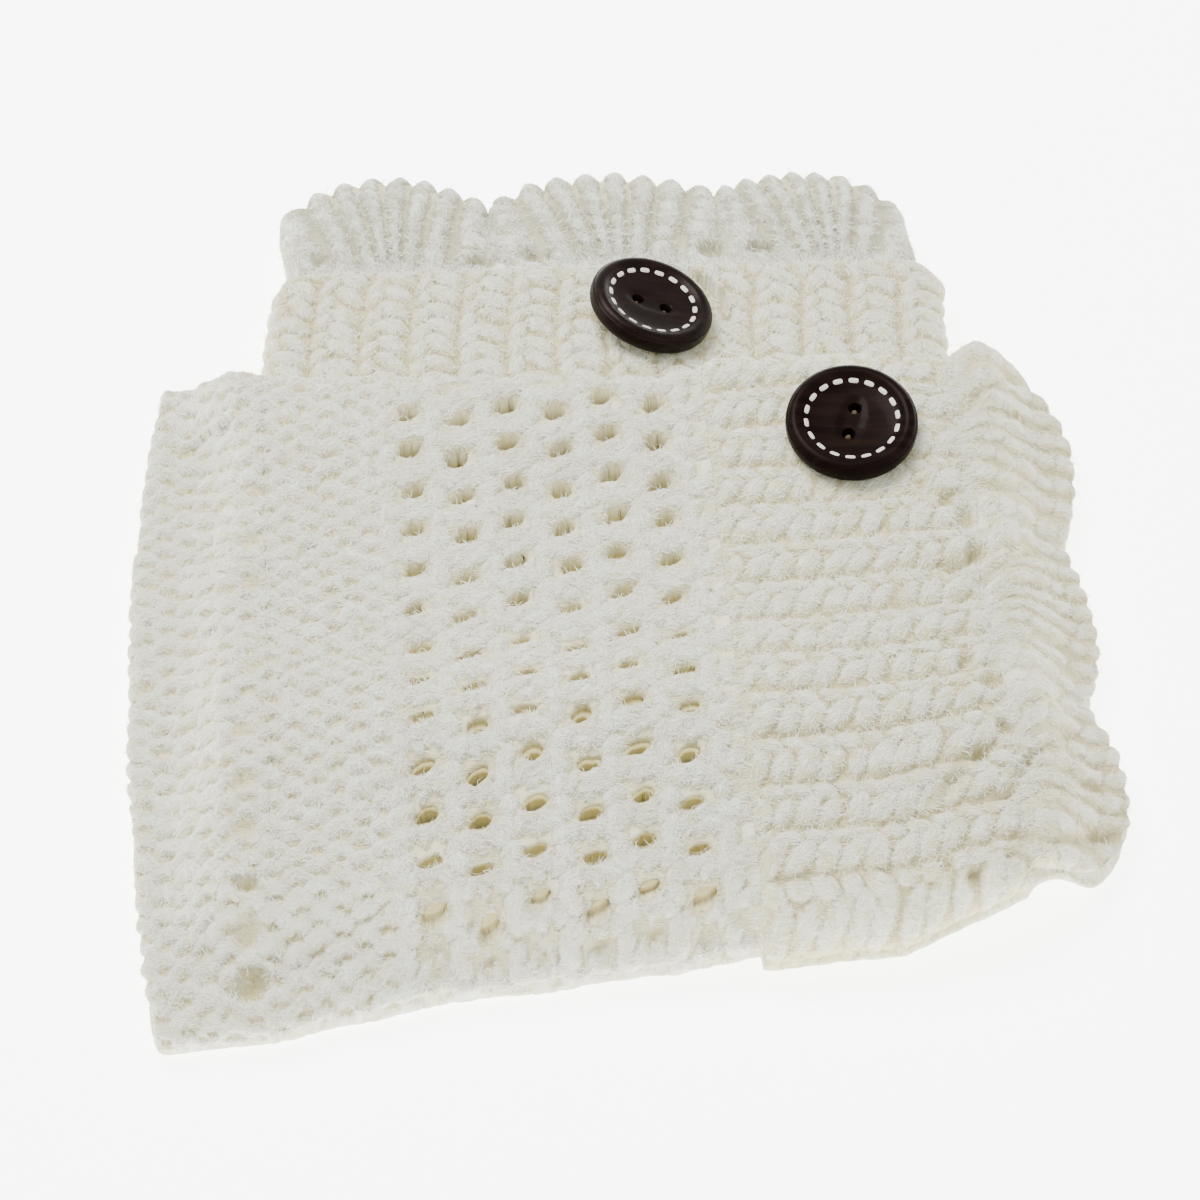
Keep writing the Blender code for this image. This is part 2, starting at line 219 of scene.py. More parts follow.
BACK = Cuff(
    name="back",
    x=4.2,
    y=-74.6,
    heading=92.0,
    sides=(
        (0.0, 67.0, 70.0),
        (50.0, 66.5, 70.0),
        (104.9, 64.5, 68.0),
        (105.1, 66.0, 70.0),
        (134.0, 65.5, 70.3),
        (146.0, 66.5, 69.0),
        (152.0, 62.5, 66.0),
        (160.0, 61.0, 66.5),
        (169.0, 60.0, 68.0),
        (180.0, 59.0, 67.0),
    ),
    fans=(
        (-60.0, -22.0, 180.2, 167.0, 175.5),
        (-22.0, 25.4, 180.8, 175.5, 172.0),
        (25.4, 68.0, 181.0, 172.0, 168.5),
    ),
    seat=ButtonSeat(x=5.6, y=61.6, lift=1.3, lean=18.0, lean_towards=14.7, turn=-10.0),
    arch=ARCH_HEIGHT,
    hem_start=3.0,
)

FRONT = Cuff(
    name="front",
    x=-84.8,
    y=-32.6,
    heading=4.0,
    sides=(
        (0.0, 74.5, 80.0),
        (20.0, 73.0, 71.5),
        (50.0, 67.0, 68.6),
        (76.0, 65.5, 67.0),
        (104.9, 63.3, 65.6),
        (105.1, 65.3, 67.6),
        (130.0, 63.8, 67.8),
        (151.0, 58.5, 65.8),
        (156.0, 56.0, 68.5),
        (166.0, 53.5, 72.5),
        (174.0, 52.0, 73.0),
    ),
    fans=(
        (-53.0, -12.0, 174.2, 163.0, 170.4),
        (-12.0, 26.5, 174.2, 170.4, 171.4),
        (26.5, 73.0, 176.0, 171.4, 166.5),
    ),
    seat=ButtonSeat(x=43.6, y=22.0, lift=0.1, lean=9.0, lean_towards=-90.0, turn=76.0),
)

# Soft troughs and ridges in the front leg's upper wall:
# along, across, reach along, reach across, height.
CREASES = (
    (62.0, -1.0, 46.0, 9.0, -1.3),
    (70.0, -19.0, 44.0, 12.0, 1.0),
    (10.0, 18.0, 16.0, 14.0, 0.9),
    (8.0, -30.0, 16.0, 18.0, 0.8),
    (27.0, -12.4, 25.0, 4.0, -0.8),
)

# The large eyelets beside the front hem, from the far fold to the near one:
# along, across, radius, depth.
HEM_EYELETS = (
    (19.7, 39.9, 2.1, 1.2),
    (18.4, 28.0, 2.1, 1.2),
    (18.5, 17.7, 2.1, 1.2),
    (19.3, -3.1, 2.0, 1.1),
    (16.2, -18.6, 2.2, 1.2),
    (16.9, -29.0, 2.2, 1.3),
    (16.6, -38.1, 2.3, 1.4),
    (16.8, -49.5, 1.9, 3.9),
    (16.6, -57.2, 2.5, 1.8),
    (16.8, -65.1, 2.8, 4.1),
)

DEEP_EYELET = 3.0  # depth from which an eyelet's bottom is flat
# painted shade in the hem's eyelets
EYELET_PIT_SHADE = 0.78

# The gaps where the bands meet the fans: along, across, half along, half across, lean.
BACK_GAPS = (
    (155.3, 59.3, 1.5, 1.3, 0.0),
    (153.8, 26.8, 1.3, 3.0, 0.3),
    (155.1, 15.1, 1.4, 3.2, 0.0),
    (155.6, -19.8, 1.7, 2.6, 0.3),
    (156.1, -30.1, 1.2, 3.0, -0.2),
    (146.5, -46.2, 1.0, 1.4, 0.0),
)
FRONT_GAPS = (
    (143.6, 32.7, 1.2, 1.3, 0.0),
    (148.0, 28.7, 1.5, 1.6, 0.3),
    (151.2, 23.7, 1.9, 2.2, 0.4),
    (151.9, 15.3, 2.0, 2.2, 0.4),
    (143.4, -8.4, 1.3, 1.2, 0.0),
    (146.0, -12.4, 1.5, 1.5, 0.3),
    (150.3, -17.6, 2.2, 2.1, 0.4),
    (150.9, -27.8, 1.6, 1.5, -0.3),
    (145.9, -32.4, 1.5, 1.5, -0.3),
    (137.3, -54.7, 1.2, 1.2, 0.0),
    (141.7, -56.6, 1.3, 1.2, 0.0),
)
FAN_GAP_DEPTH = 1.5
# painted shade in the gaps at the foot of the fans
FAN_GAP_PIT_SHADE = 0.85
FAN_GAP_FLAT = 0.8  # share of the relief lost in it
FAN_GAP_STEEP = 0.8

# Soft grooves that run from the front band into its fans, in straight pieces:
# along and across of both ends, reach and depth.
FRONT_GROOVES = (
    (142.5, 9.4, 147.0, 11.5, 1.5, 1.1),
    (147.0, 11.5, 151.6, 15.3, 1.5, 1.1),
    (151.4, 7.1, 155.2, 11.7, 1.2, 1.0),
    (155.2, 11.7, 165.0, 20.3, 1.2, 1.0),
    (149.8, 44.8, 156.0, 51.7, 1.2, 1.0),
    (156.0, 51.7, 166.3, 65.5, 1.2, 1.0),
    (151.8, 37.6, 154.9, 32.4, 1.2, 0.9),
    (154.9, 32.4, 158.1, 31.9, 1.2, 0.9),
    (158.1, 31.9, 164.0, 35.8, 1.2, 0.9),
    (136.0, -41.6, 141.3, -37.4, 1.5, 1.2),
    (141.3, -37.4, 145.9, -32.4, 1.5, 1.2),
    (146.4, -43.1, 150.3, -39.9, 1.2, 1.1),
    (150.3, -39.9, 154.5, -34.3, 1.2, 1.1),
    (154.5, -34.3, 166.1, -22.2, 1.2, 1.1),
    (149.0, -49.6, 157.2, -50.2, 1.5, 1.4),
    (157.2, -50.2, 170.1, -41.1, 1.5, 1.4),
    (149.0, -53.1, 154.8, -56.1, 1.6, 1.5),
    (154.8, -56.1, 168.5, -52.0, 1.6, 1.5),
    (155.6, -40.2, 167.8, -32.4, 1.2, 0.8),
    (153.5, -7.3, 166.0, -2.3, 1.2, 0.8),
)
# painted shade in the front's grooves, for each millimetre of depth and at most
GROOVE_PIT_SHADE = 0.5  # for each millimetre of depth
GROOVE_PIT_SHADE_MOST = 0.78


def ramp(share: Array) -> Array:
    """Smooth step from 0 to 1: three times the square less twice the cube of the share."""
    share = np.clip(share, 0.0, 1.0)
    return share * share * (3 - 2 * share)


def rounded(distance: Array, radius: float) -> Array:
    """Height share of a quarter circle, 0 at the edge and 1 a radius inside it."""
    share = np.clip(1 - distance / radius, 0.0, 1.0)
    return np.sqrt(1 - share * share)


def bump(distance: Array, reach: float) -> Array:
    """Smooth hump, 1 in the middle and 0 from its reach on."""
    return ramp(1 - np.abs(distance) / reach)


def hashed(i: Array, j: Array, seed: float) -> Array:
    """Uneven value from -1 to 1 of a whole-numbered cell: the fraction of a large sine."""
    first, second, third = HASH_STEPS
    return 2 * np.mod(np.sin(i * first + j * second + seed * third) * HASH_SCALE, 1.0) - 1


def noise(u: Array, v: Array, seed: float = 0.0) -> Array:
    """Smooth uneven field from -1 to 1, the same on every run.

    Each whole-numbered corner of the plane gets an uneven value, and the values of a cell's
    four corners are blended by smooth steps.

    Args:
        u: First coordinate, one unit to a cell.
        v: Second coordinate.
        seed: Number that tells one field from another.

    Returns:
        The field at each point.
    """
    low_u, low_v = np.floor(u), np.floor(v)
    step_u, step_v = ramp(u - low_u), ramp(v - low_v)
    near, far = (
        hashed(low_u, low_v + j, seed) * (1 - step_u) + hashed(low_u + 1, low_v + j, seed) * step_u
        for j in (0, 1)
    )
    return near * (1 - step_v) + far * step_v


def arch_of(cuff: Cuff, along: Array, across: Array) -> Array:
    """How far the upper wall is lifted off the lower one, near an open hem.

    A smooth hump along, times one less the fourth power of the share of the half width.

    Args:
        cuff: The leg warmer.
        along: Distances along.
        across: Distances across.

    Returns:
        The lift at each point.
    """
    right, left = cuff.edges(along)
    share = np.clip(np.abs((across - (right + left) / 2) / ((left - right) / 2)), 0.0, 1.0)
    return cuff.arch * bump(along - ARCH_MIDDLE, ARCH_REACH) * (1 - share**4)


def support(cuff: Cuff, x: Array, y: Array) -> Array:
    """Height that the underside lies on.

    Zero for the back leg warmer. For the front one it is the height of the back one with
    its ribs and arch, and falls smoothly to zero with the distance past the back's outline.

    Args:
        cuff: The leg warmer that lies on it.
        x: First coordinates in the plan.
        y: Second coordinates.

    Returns:
        The height at each point.
    """
    if cuff is BACK:
        return np.zeros_like(x)
    along, across = BACK.local(x, y)
    right, left = BACK.edges(along)
    past_side = np.maximum(np.maximum(across - left, right - across), 0.0)
    past_hem = np.maximum(BACK.hem_start - HEM_BULGE - along, 0.0)
    past = np.hypot(past_side, past_hem)
    over_ribs = RIB_HEIGHT * ramp((along - RIBS_RISE_FROM) / RIBS_RISE)
    over_arch = BACK.arch * bump(along - ARCH_MIDDLE, ARCH_REACH)
    height = TOP + GAP + over_ribs + over_arch
    return height * (1 - ramp((past - LEDGE) / FALL))


def unrolled(points: Array, across: Array) -> Array:
    """Distance across, measured over the surface instead of in the plan.

    The lengths between neighbouring points of each row are summed up from the point of
    the first half that is nearest the middle line, where both distances agree.

    Args:
        points: Grid of points, one row for each distance along.
        across: Distance across of each point in the plan.

    Returns:
        The distance of each point.
    """
    steps = np.linalg.norm(np.diff(points, axis=1), axis=-1)
    total = np.pad(np.cumsum(steps, axis=1), ((0, 0), (1, 0)))
    half = across.shape[1] // 2
    middle = int(np.argmin(np.abs(across[0, :half])))
    return total - total[:, middle : middle + 1] + across[:, middle : middle + 1]


def crease_of(cuff: Cuff, along: Array, across: Array) -> Array:
    """Sum of the soft troughs and ridges: each is a smooth step of its elliptic distance.

    Args:
        cuff: The leg warmer; only the front one has any.
        along: Distances along.
        across: Distances across.

    Returns:
        The height that they add at each point.
    """
    total = np.zeros_like(along)
    for mid_along, mid_across, reach_along, reach_across, height in CREASES if cuff is FRONT else ():
        share = np.hypot((along - mid_along) / reach_along, (across - mid_across) / reach_across)
        total = total + height * ramp(1 - share)
    return total


def seat_frame(cuff: Cuff) -> tuple[Vector, Matrix]:
    """Place of the middle of a button's underside, and the turn of the button.

    Args:
        cuff: The leg warmer that the button is sewn on.

    Returns:
        The place, and the turn about the upright followed by the lean.
    """
    seat = cuff.seat
    under = float(support(cuff, np.array(seat.x), np.array(seat.y)))
    place = Vector((seat.x, seat.y, under + TOP + RIB_HEIGHT + seat.lift))
    towards = math.radians(seat.lean_towards)
    axis = Vector((-math.sin(towards), math.cos(towards), 0.0))
    lean = Matrix.Rotation(math.radians(seat.lean), 3, axis)
    return place, lean @ Matrix.Rotation(math.radians(seat.turn), 3, "Z")


def meet_button(cuff: Cuff, points: Array) -> Array:
    """Knit pressed down under the button's plane and drawn up to its high side.

    Args:
        cuff: The leg warmer.
        points: Points of the outer side of its upper wall, last axis x, y, z.

    Returns:
        The same points with new heights.
    """
    place, turn = seat_frame(cuff)
    normal = turn @ Vector((0.0, 0.0, 1.0))
    x, y, top = points[..., 0], points[..., 1], points[..., 2]
    slope = (normal.x * (x - place.x) + normal.y * (y - place.y)) / normal.z
    highest = place.z - slope - GAP
    away = np.hypot(x - place.x, y - place.y)
    drawn = np.clip(highest - top, 0.0, DRAWN_MOST) * ramp(1 - away / DRAWN_REACH)
    met = np.where(away < PRESSED_REACH, np.minimum(top + drawn, highest), top + drawn)
    return np.stack([x, y, met], axis=-1)


def layer_points(
    cuff: Cuff, along: Array, across: Array, right: Array, left: Array, upper: Array, outer: bool
) -> Array:
    """Points of one face of a flattened tube's wall, folds included.

    The outer face is flat but for a quarter circle at each fold, where the upper and the
    lower wall meet at the fold's middle height. The inner face is drawn in by the wall.

    Args:
        cuff: The leg warmer.
        along: Distances along.
        across: Distances across.
        right: Distance across of the right fold.
        left: Distance across of the left fold.
        upper: True where the point is on the upper wall.
        outer: True for the outer face.

    Returns:
        Points with last axis x, y, z.
    """
    middle, half = (left + right) / 2, (left - right) / 2
    if not outer:
        across = middle + (across - middle) * (1 - WALL / half)
        fold = np.maximum(half - WALL - np.abs(across - middle), 0.0)
    else:
        fold = np.maximum(half - np.abs(across - middle), 0.0)
    x, y = cuff.world(along, across)
    under = support(cuff, x, y)
    arch = arch_of(cuff, along, across)
    crease = crease_of(cuff, along, across)
    if outer:
        high = FOLD_MIDDLE + (TOP + arch + crease - FOLD_MIDDLE) * rounded(fold, FOLD_RADIUS)
        low = FOLD_MIDDLE * (1 - rounded(fold, UNDER_RADIUS))
    else:
        opening = rounded(fold, INNER_RADIUS)
        high = FOLD_MIDDLE + (GAP / 2 + arch) * opening
        low = FOLD_MIDDLE - GAP / 2 * opening
    return np.stack([x, y, under + np.where(upper, high, low)], axis=-1)


def grid_normals(points: Array, wrap: bool) -> Array:
    """Unit normals of a grid surface: the cross product of its two central differences.

    Args:
        points: Grid of points.
        wrap: True if the grid closes on itself both ways.

    Returns:
        A normal for each point.
    """
    if wrap:
        down = np.roll(points, -1, axis=0) - np.roll(points, 1, axis=0)
        over = np.roll(points, -1, axis=1) - np.roll(points, 1, axis=1)
    else:
        down, over = np.gradient(points, axis=0), np.gradient(points, axis=1)
    normal = np.cross(over, down)
    return normal / np.maximum(np.linalg.norm(normal, axis=-1, keepdims=True), 1e-9)


@dataclass
class Stitches:
    """Relief of a knit: what stands out of the wall, how deep in a pit each point is, which
    sets its painted shade, and its place on the yarn, along its strand and across it."""

    height: Array
    pit: Array
    ply: Array


def lumpy(along: Array, across: Array) -> Array:
    """Uneven swelling of hand-made knit: three fields of falling scale and height, summed."""
    fields = ((0.30, 11, 9, 6), (0.16, 3.6, 3.1, 7), (0.10, 1.5, 1.3, 8))
    return sum(height * noise(along / long, across / wide, seed) for height, long, wide, seed in fields)


def depth_of(loops: Array, edge: float = 0.72) -> Array:
    """Depth in a pit: one less the loops' height as a share of the edge height, from 0 to 1."""
    return np.clip(1 - loops / edge, 0.0, 1.0)


def seam_of(along: Array) -> Array:
    """Smooth share of the seam's groove where the leg meets the band: a bell round it."""
    return np.exp(-(((along - LEG_END) / SEAM_REACH) ** 2))


def crease_at(fold: Array) -> Array:
    """Share of the line that runs along a fold: a bell of the distance from it."""
    return np.exp(-((fold / CREASE_REACH) ** 2))


def shown_share(fold: Array, upper: Array) -> Array:
    """Share of the relief that shows: all of it above, and less and less under each fold."""
    return np.where(upper, 1.0, 0.5 * (1 - rounded(np.maximum(fold, 0.0), UNDER_RADIUS)))


@dataclass(frozen=True)
class Loop:
    """The part of a loop of yarn that shows: its middle in the repeat, in shares of it, the
    lean of its strand from along in degrees, and its half length, half width and height."""

    along: float
    across: float
    lean: float
    half_long: float
    half_wide: float
    height: float = 1.0


@dataclass(frozen=True)
class Repeat:
    """A repeat of loops over the knit."""

    pitch_along: float
    pitch_across: float
    loops: tuple
    shift: float = 0.0  # of every other repeat along, in shares of the pitch across
    uneven: float = 0.3
    turn_uneven: float = 14.0
    size_uneven: float = 0.12
    seed: int = 0

    def middle(self, i: Array, j: Array) -> tuple[Array, Array]:
        """Low corner of the repeat with two whole numbers, along and across."""
        return i * self.pitch_along, (j + self.shift * np.mod(i, 2)) * self.pitch_across

    def cell(self, along: Array, across: Array) -> tuple[Array, Array]:
        """Whole numbers of the repeat that each point is in."""
        i = np.floor(along / self.pitch_along)
        return i, np.floor(across / self.pitch_across - self.shift * np.mod(i, 2))

    def field(self, along: Array, across: Array) -> tuple[Array, Array]:
        """The highest loop over each point.

        Each loop is half an ellipsoid: its height times the root of one less the squares
        of the shares of its half length and half width. Its place and lean are uneven.

        Args:
            along: Distance along.
            across: Distance across.

        Returns:
            The height, and the place along and across that loop's strand.
        """
        i0, j0 = self.cell(along, across)
        best = np.zeros(i0.shape)
        ply = np.zeros((*i0.shape, 2))
        for di, dj in [(a, b) for a in (-1, 0, 1) for b in (-1, 0, 1)]:
            i, j = i0 + di, j0 + dj
            low_along, low_across = self.middle(i, j)
            for k, loop in enumerate(self.loops):
                seed = self.seed + 5 * k
                off = self.uneven * hashed(i, j, seed), self.uneven * hashed(i, j, seed + 1)
                lean = np.radians(loop.lean + self.turn_uneven * hashed(i, j, seed + 2))
                u = along - low_along - loop.along * self.pitch_along - off[0]
                v = across - low_across - loop.across * self.pitch_across - off[1]
                strand = u * np.cos(lean) + v * np.sin(lean)
                aside = v * np.cos(lean) - u * np.sin(lean)
                size = 1 + self.size_uneven * hashed(i, j, seed + 3)
                share = (strand / (loop.half_long * size)) ** 2
                share = share + (aside / (loop.half_wide * size)) ** 2
                height = loop.height * size * np.sqrt(np.clip(1 - share, 0.0, 1.0))
                over = height > best
                best = np.where(over, height, best)
                ply[..., 0] = np.where(over, strand, ply[..., 0])
                ply[..., 1] = np.where(over, aside, ply[..., 1])
        return best, ply


@dataclass(frozen=True)
class Moss:
    """Moss stitch: staggered short loops that lean to and fro, with pits between."""

    repeat: Repeat = Repeat(
        3.9,
        4.7,
        (Loop(0.25, 0.5, 58.0, 2.4, 1.6), Loop(0.75, 0.5, -54.0, 2.4, 1.6, 0.95)),
        shift=0.5,
        uneven=0.4,
        turn_uneven=24.0,
        seed=3,
    )
    depth: float = 1.25
    usual: float = 0.8  # height of the loops that lies level with the wall
    drift: float = 0.7  # of the rows
    drift_over: float = 9.0
    shade: float = 0.78  # of the pits

    def stitches(self, along: Array, across: Array) -> Stitches:
        """Relief: the loops' height less its usual value, and pits where no loop stands.

        Args:
            along: Distances along.
            across: Distances across.

        Returns:
            The relief.
        """
        u, v = along / self.drift_over, across / self.drift_over
        loops, ply = self.repeat.field(
            along + self.drift * noise(u, v, 3),
            across + self.drift * noise(u, v, 4),
        )
        height = self.depth * (loops - self.usual) + lumpy(along, across)
        return Stitches(height, self.shade * depth_of(loops), ply)


@dataclass(frozen=True)
class EyeletRepeat(Repeat):
    """The repeat of the eyelets, whose corner is an eyelet's middle."""

    def middle(self, i: Array, j: Array) -> tuple[Array, Array]:
        """Middle of an eyelet: every other column is lower, and the rows rise a little.

        Args:
            i: Number of the column.
            j: Number of the row, from the near fold.

        Returns:
            The middle's distance along and across.
        """
        along = FIRST_COLUMN + COLUMN_PITCH * i
        lowered = ROW_SLANT * (along - (FIRST_COLUMN + LEG_END) / 2) - STAGGER * np.mod(i, 2)
        return along, FIRST_ROW + lowered - ROW_PITCH * (EYELET_ROWS - 1) + ROW_PITCH * j

    def cell(self, along: Array, across: Array) -> tuple[Array, Array]:
        """Whole numbers of the nearest eyelet."""
        i = np.round((along - FIRST_COLUMN) / COLUMN_PITCH)
        return i, np.round((across - self.middle(i, 0 * i)[1]) / ROW_PITCH)


@dataclass(frozen=True)
class Openwork:
    """Openwork of the leg: columns of leaning oval eyelets among soft short loops."""

    lip: float = 1.15  # radius of the rounded edge of an eyelet
    depth: float = 1.15
    usual: float = 0.8  # height of the loops that lies level with the wall
    flat: float = 0.6  # share by which the loops are lower at an eyelet's edge
    flat_over: float = 1.2
    rim: float = 0.7  # reach of the pit round an eyelet
    dimple: float = 0.8  # depth of the dimples on the near fold
    half_uneven: float = 0.2  # of the half size across
    off_along: float = 0.45  # most by which an eyelet's middle is off
    off_across: float = 0.4
    rim_uneven: float = 0.2  # of the rims' size
    rim_uneven_over: float = 1.5
    # painted shade round each eyelet's rim and between the loops
    rim_pit_shade: float = 0.72
    loop_pit_shade: float = 0.55
    pit_edge: float = 0.6  # height of loops without a pit
    repeat: EyeletRepeat = EyeletRepeat(
        COLUMN_PITCH,
        ROW_PITCH,
        (
            Loop(-0.24, 0.50, 24.0, 2.9, 2.1),
            Loop(0.24, 0.50, -20.0, 2.9, 2.1, 0.95),
            Loop(0.50, 0.20, 66.0, 2.8, 1.9, 0.95),
            Loop(0.50, -0.22, 104.0, 2.8, 1.9),
            Loop(0.0, 0.32, 14.0, 3.0, 1.5, 0.9),
            Loop(0.0, -0.33, 20.0, 3.0, 1.5, 0.9),
        ),
        uneven=0.3,
        turn_uneven=14.0,
        seed=50,
    )

    def nearest(self, along: Array, across: Array, first_row: int) -> tuple[Array, Array, Array]:
        """Middle of the nearest eyelet, along and across, and its half size across.

        Args:
            along: Distances along.
            across: Distances across.
            first_row: Lowest row of eyelets.

        Returns:
            The middle's place, a little uneven, and the half size, less in the squeezed rows.
        """
        i, j = self.repeat.cell(along, across)
        i, j = np.clip(i, 0, EYELET_COLUMNS - 1), np.clip(j, first_row, EYELET_ROWS - 1)
        middle, centre = self.repeat.middle(i, j)
        uneven = hashed(i, j, 11)
        squeeze = 1 - SQUEEZE * bump(centre - SQUEEZED_ROW, SQUEEZED_REACH)
        half = EYELET_HALF_ACROSS * (1 + self.half_uneven * uneven) * squeeze
        off = self.off_along * hashed(i, j, 13), self.off_across * hashed(i, j, 12)
        return middle + off[0], centre + off[1], half

    def wobble(self, along: Array, across: Array) -> Array:
        """Uneven size of the rims: one and a part of a small field."""
        over = self.rim_uneven_over
        return 1 + self.rim_uneven * noise(along / over, across / over, 15)

    def distance(self, along: Array, across: Array, first_row: int) -> Array:
        """Elliptic distance to the nearest eyelet's middle, 1 on its uneven edge.

        Args:
            along: Distances along.
            across: Distances across.
            first_row: Lowest row of eyelets.

        Returns:
            The length of the offsets in shares of the half sizes, over the rim's size.
        """
        middle, centre, half = self.nearest(along, across, first_row)
        u = (along - middle) / EYELET_HALF_ALONG
        v = (across - centre - EYELET_LEAN * (along - middle)) / half
        return np.hypot(u, v) / self.wobble(along, across)

    def stitches(
        self, along: Array, across: Array, spread: Array, fold: Array, first_row: int
    ) -> Stitches:
        """Relief: the loops, a rounded lip at each eyelet, and dimples on the near fold.

        Args:
            along: Distance along.
            across: Distance across in the plan, where the eyelets are.
            spread: Distance across over the surface, where the loops are.
            fold: Distance from the near fold in the plan.
            first_row: Lowest row of eyelets.

        Returns:
            The relief.
        """
        share = self.distance(along, across, first_row)
        edge = np.maximum(share - 1, 0.0) * EYELET_HALF_ACROSS
        loops, ply = self.repeat.field(along, spread)
        lip = self.lip * (rounded(edge, self.lip) - 1)
        level = 1 - self.flat + self.flat * ramp(edge / self.flat_over)
        height = self.depth * (loops - self.usual) * level + lip + lumpy(along, across)
        # painted shade: a pit round each rim, between the loops and in the dimples
        rim_pit_shade = self.rim_pit_shade * np.exp(-((edge / self.rim) ** 2))
        pit = np.maximum(rim_pit_shade, self.loop_pit_shade * depth_of(loops, self.pit_edge))
        off = along - self.repeat.middle(*self.repeat.cell(along, across))[0]
        half_along, half_across, lean = DIMPLE_SHAPE
        away = np.hypot(off / half_along, (fold - DIMPLE_ROW - lean * off) / half_across)
        dimple = self.dimple * np.exp(-(away**3))
        return Stitches(height - dimple, np.maximum(pit, dimple), ply)


@dataclass(frozen=True)
class Ribbing:
    """Knit ribs, each of one or two rows of leaning loops."""

    height: float
    loops: tuple
    depth: float = 1.0
    pitch: float = 9.5
    stitch: float = 4.8
    groove: float = 0.13
    fullness: float = 3.0  # power that makes the section full, or pointed where low
    usual: float = 0.75  # height of the loops that lies level with the rib
    swing: float = 0.8  # of the rows of loops
    swing_over: float = 9.0
    swing_ribs: float = 0.9  # cells of that swing to a rib
    flat: float = 0.3  # share by which the loops are lower in a groove
    # painted shade in the grooves and between the loops
    groove_pit_shade: float = 0.6
    loop_pit_shade: float = 0.85
    pit_edge: float = 0.6  # height of loops without a pit

    def stitches(self, place: Array, along: Array, seed: int) -> Stitches:
        """Relief of ribs.

        The rib's section is the square root of one less a power of the distance from its
        crest, and the loops lie on it in rows.

        Args:
            place: Place across in ribs: a whole number is a groove.
            along: Distance along the ribs.
            seed: Number that tells one set of ribs from another.

        Returns:
            The relief, with its pits, which set painted shade, in the grooves and between the loops.
        """
        repeat = Repeat(
            self.stitch, self.pitch, self.loops, uneven=0.42, turn_uneven=15.0, seed=seed
        )
        swing = self.swing * noise(along / self.swing_over, place * self.swing_ribs, seed)
        start = self.stitch * hashed(np.floor(place), np.floor(place), seed)
        loops, ply = repeat.field(along + start + swing, place * self.pitch)
        flank = np.abs(2 * (place - np.floor(place) - 0.5))
        groove = np.exp(-(((1 - flank) / self.groove) ** 2))
        section = np.sqrt(np.clip(1 - flank**self.fullness, 0.0, 1.0))
        loops_height = self.depth * (loops - self.usual) * (1 - self.flat * groove)
        pit = np.maximum(self.groove_pit_shade * groove, self.loop_pit_shade * depth_of(loops, self.pit_edge))
        return Stitches(self.height * section + loops_height, pit, ply)


@dataclass
class Roots:
    """Points of the shown knit from which fuzz grows, and the normals there."""

    points: list = field(default_factory=list)
    normals: list = field(default_factory=list)

    def add(self, points: Array, normals: Array, keep: Array) -> None:
        """Keep the points and normals where the mask is true."""
        self.points.append(points[keep])
        self.normals.append(normals[keep])


def new_object(
    name: str, points: Array, faces: list, coords: dict | None = None, pit: Array | None = None
) -> Object:
    """Smooth mesh object from arrays, its place in its mesh.

    Args:
        name: Name of the object and of its mesh.
        points: Points in millimetres.
        faces: Arrays of faces, each with its own number of corners.
        coords: Two texture coordinates a point for each named layer, or None.
        pit: Depth in a pit, from 0 to 1, a point, which sets the painted shade, or None.

    Returns:
        The new object, linked to the scene.
    """
    faces = [np.asarray(part, np.int32) for part in faces if len(part)]
    corners = np.concatenate([part.ravel() for part in faces])
    sizes = np.concatenate([np.full(len(part), part.shape[1], np.int32) for part in faces])
    mesh = bpy.data.meshes.new(name)
    mesh.vertices.add(len(points))
    mesh.vertices.foreach_set("co", (points * MM).astype(np.float32).ravel())
    mesh.loops.add(len(corners))
    mesh.loops.foreach_set("vertex_index", corners)
    mesh.polygons.add(len(sizes))
    mesh.polygons.foreach_set("loop_start", (np.cumsum(sizes) - sizes).astype(np.int32))
    mesh.polygons.foreach_set("use_smooth", np.ones(len(sizes), bool))
    for key, values in (coords or {}).items():
        layer = mesh.uv_layers.new(name=key)
        layer.data.foreach_set("uv", values[corners].astype(np.float32).ravel())
    # painted shade: the pit attribute that the yarn's material reads
    if pit is not None:
        layer = mesh.attributes.new("pit", "FLOAT", "POINT")
        layer.data.foreach_set("value", pit.astype(np.float32))
    mesh.update(calc_edges=True)
    mesh.validate()
    obj = bpy.data.objects.new(name, mesh)
    bpy.context.scene.collection.objects.link(obj)
    return obj


def outward(points: Array, faces: Array) -> Array:
    """The faces, turned round if the solid that they close would have a negative volume.

    Args:
        points: Points of the mesh.
        faces: Quads that close a solid.

    Returns:
        The quads, facing outwards.
    """
    a, b, c, d = (points[faces[:, k]] for k in range(4))
    volume = (np.cross(c - a, d - b) * (a + c) / 2).sum()
    return faces if volume > 0 else faces[:, ::-1]


def ring_faces(rows: int, columns: int) -> Array:
    """Quads of a grid that closes on itself both ways.

    Args:
        rows: Rows of the grid.
        columns: Points of a row.

    Returns:
        The corners of each quad.
    """
    i, j = np.meshgrid(np.arange(rows), np.arange(columns), indexing="ij")
    down, over = (i + 1) % rows, (j + 1) % columns
    corners = (i * columns + j, i * columns + over, down * columns + over, down * columns + j)
    return np.stack([corner.ravel() for corner in corners], axis=1)


def pole_points(grid: Array) -> Array:
    """Points of a turned grid whose first and last rows are poles: one point for each pole."""
    return np.concatenate([grid[0, :1], grid[1:-1].reshape(-1, 3), grid[-1, :1]])


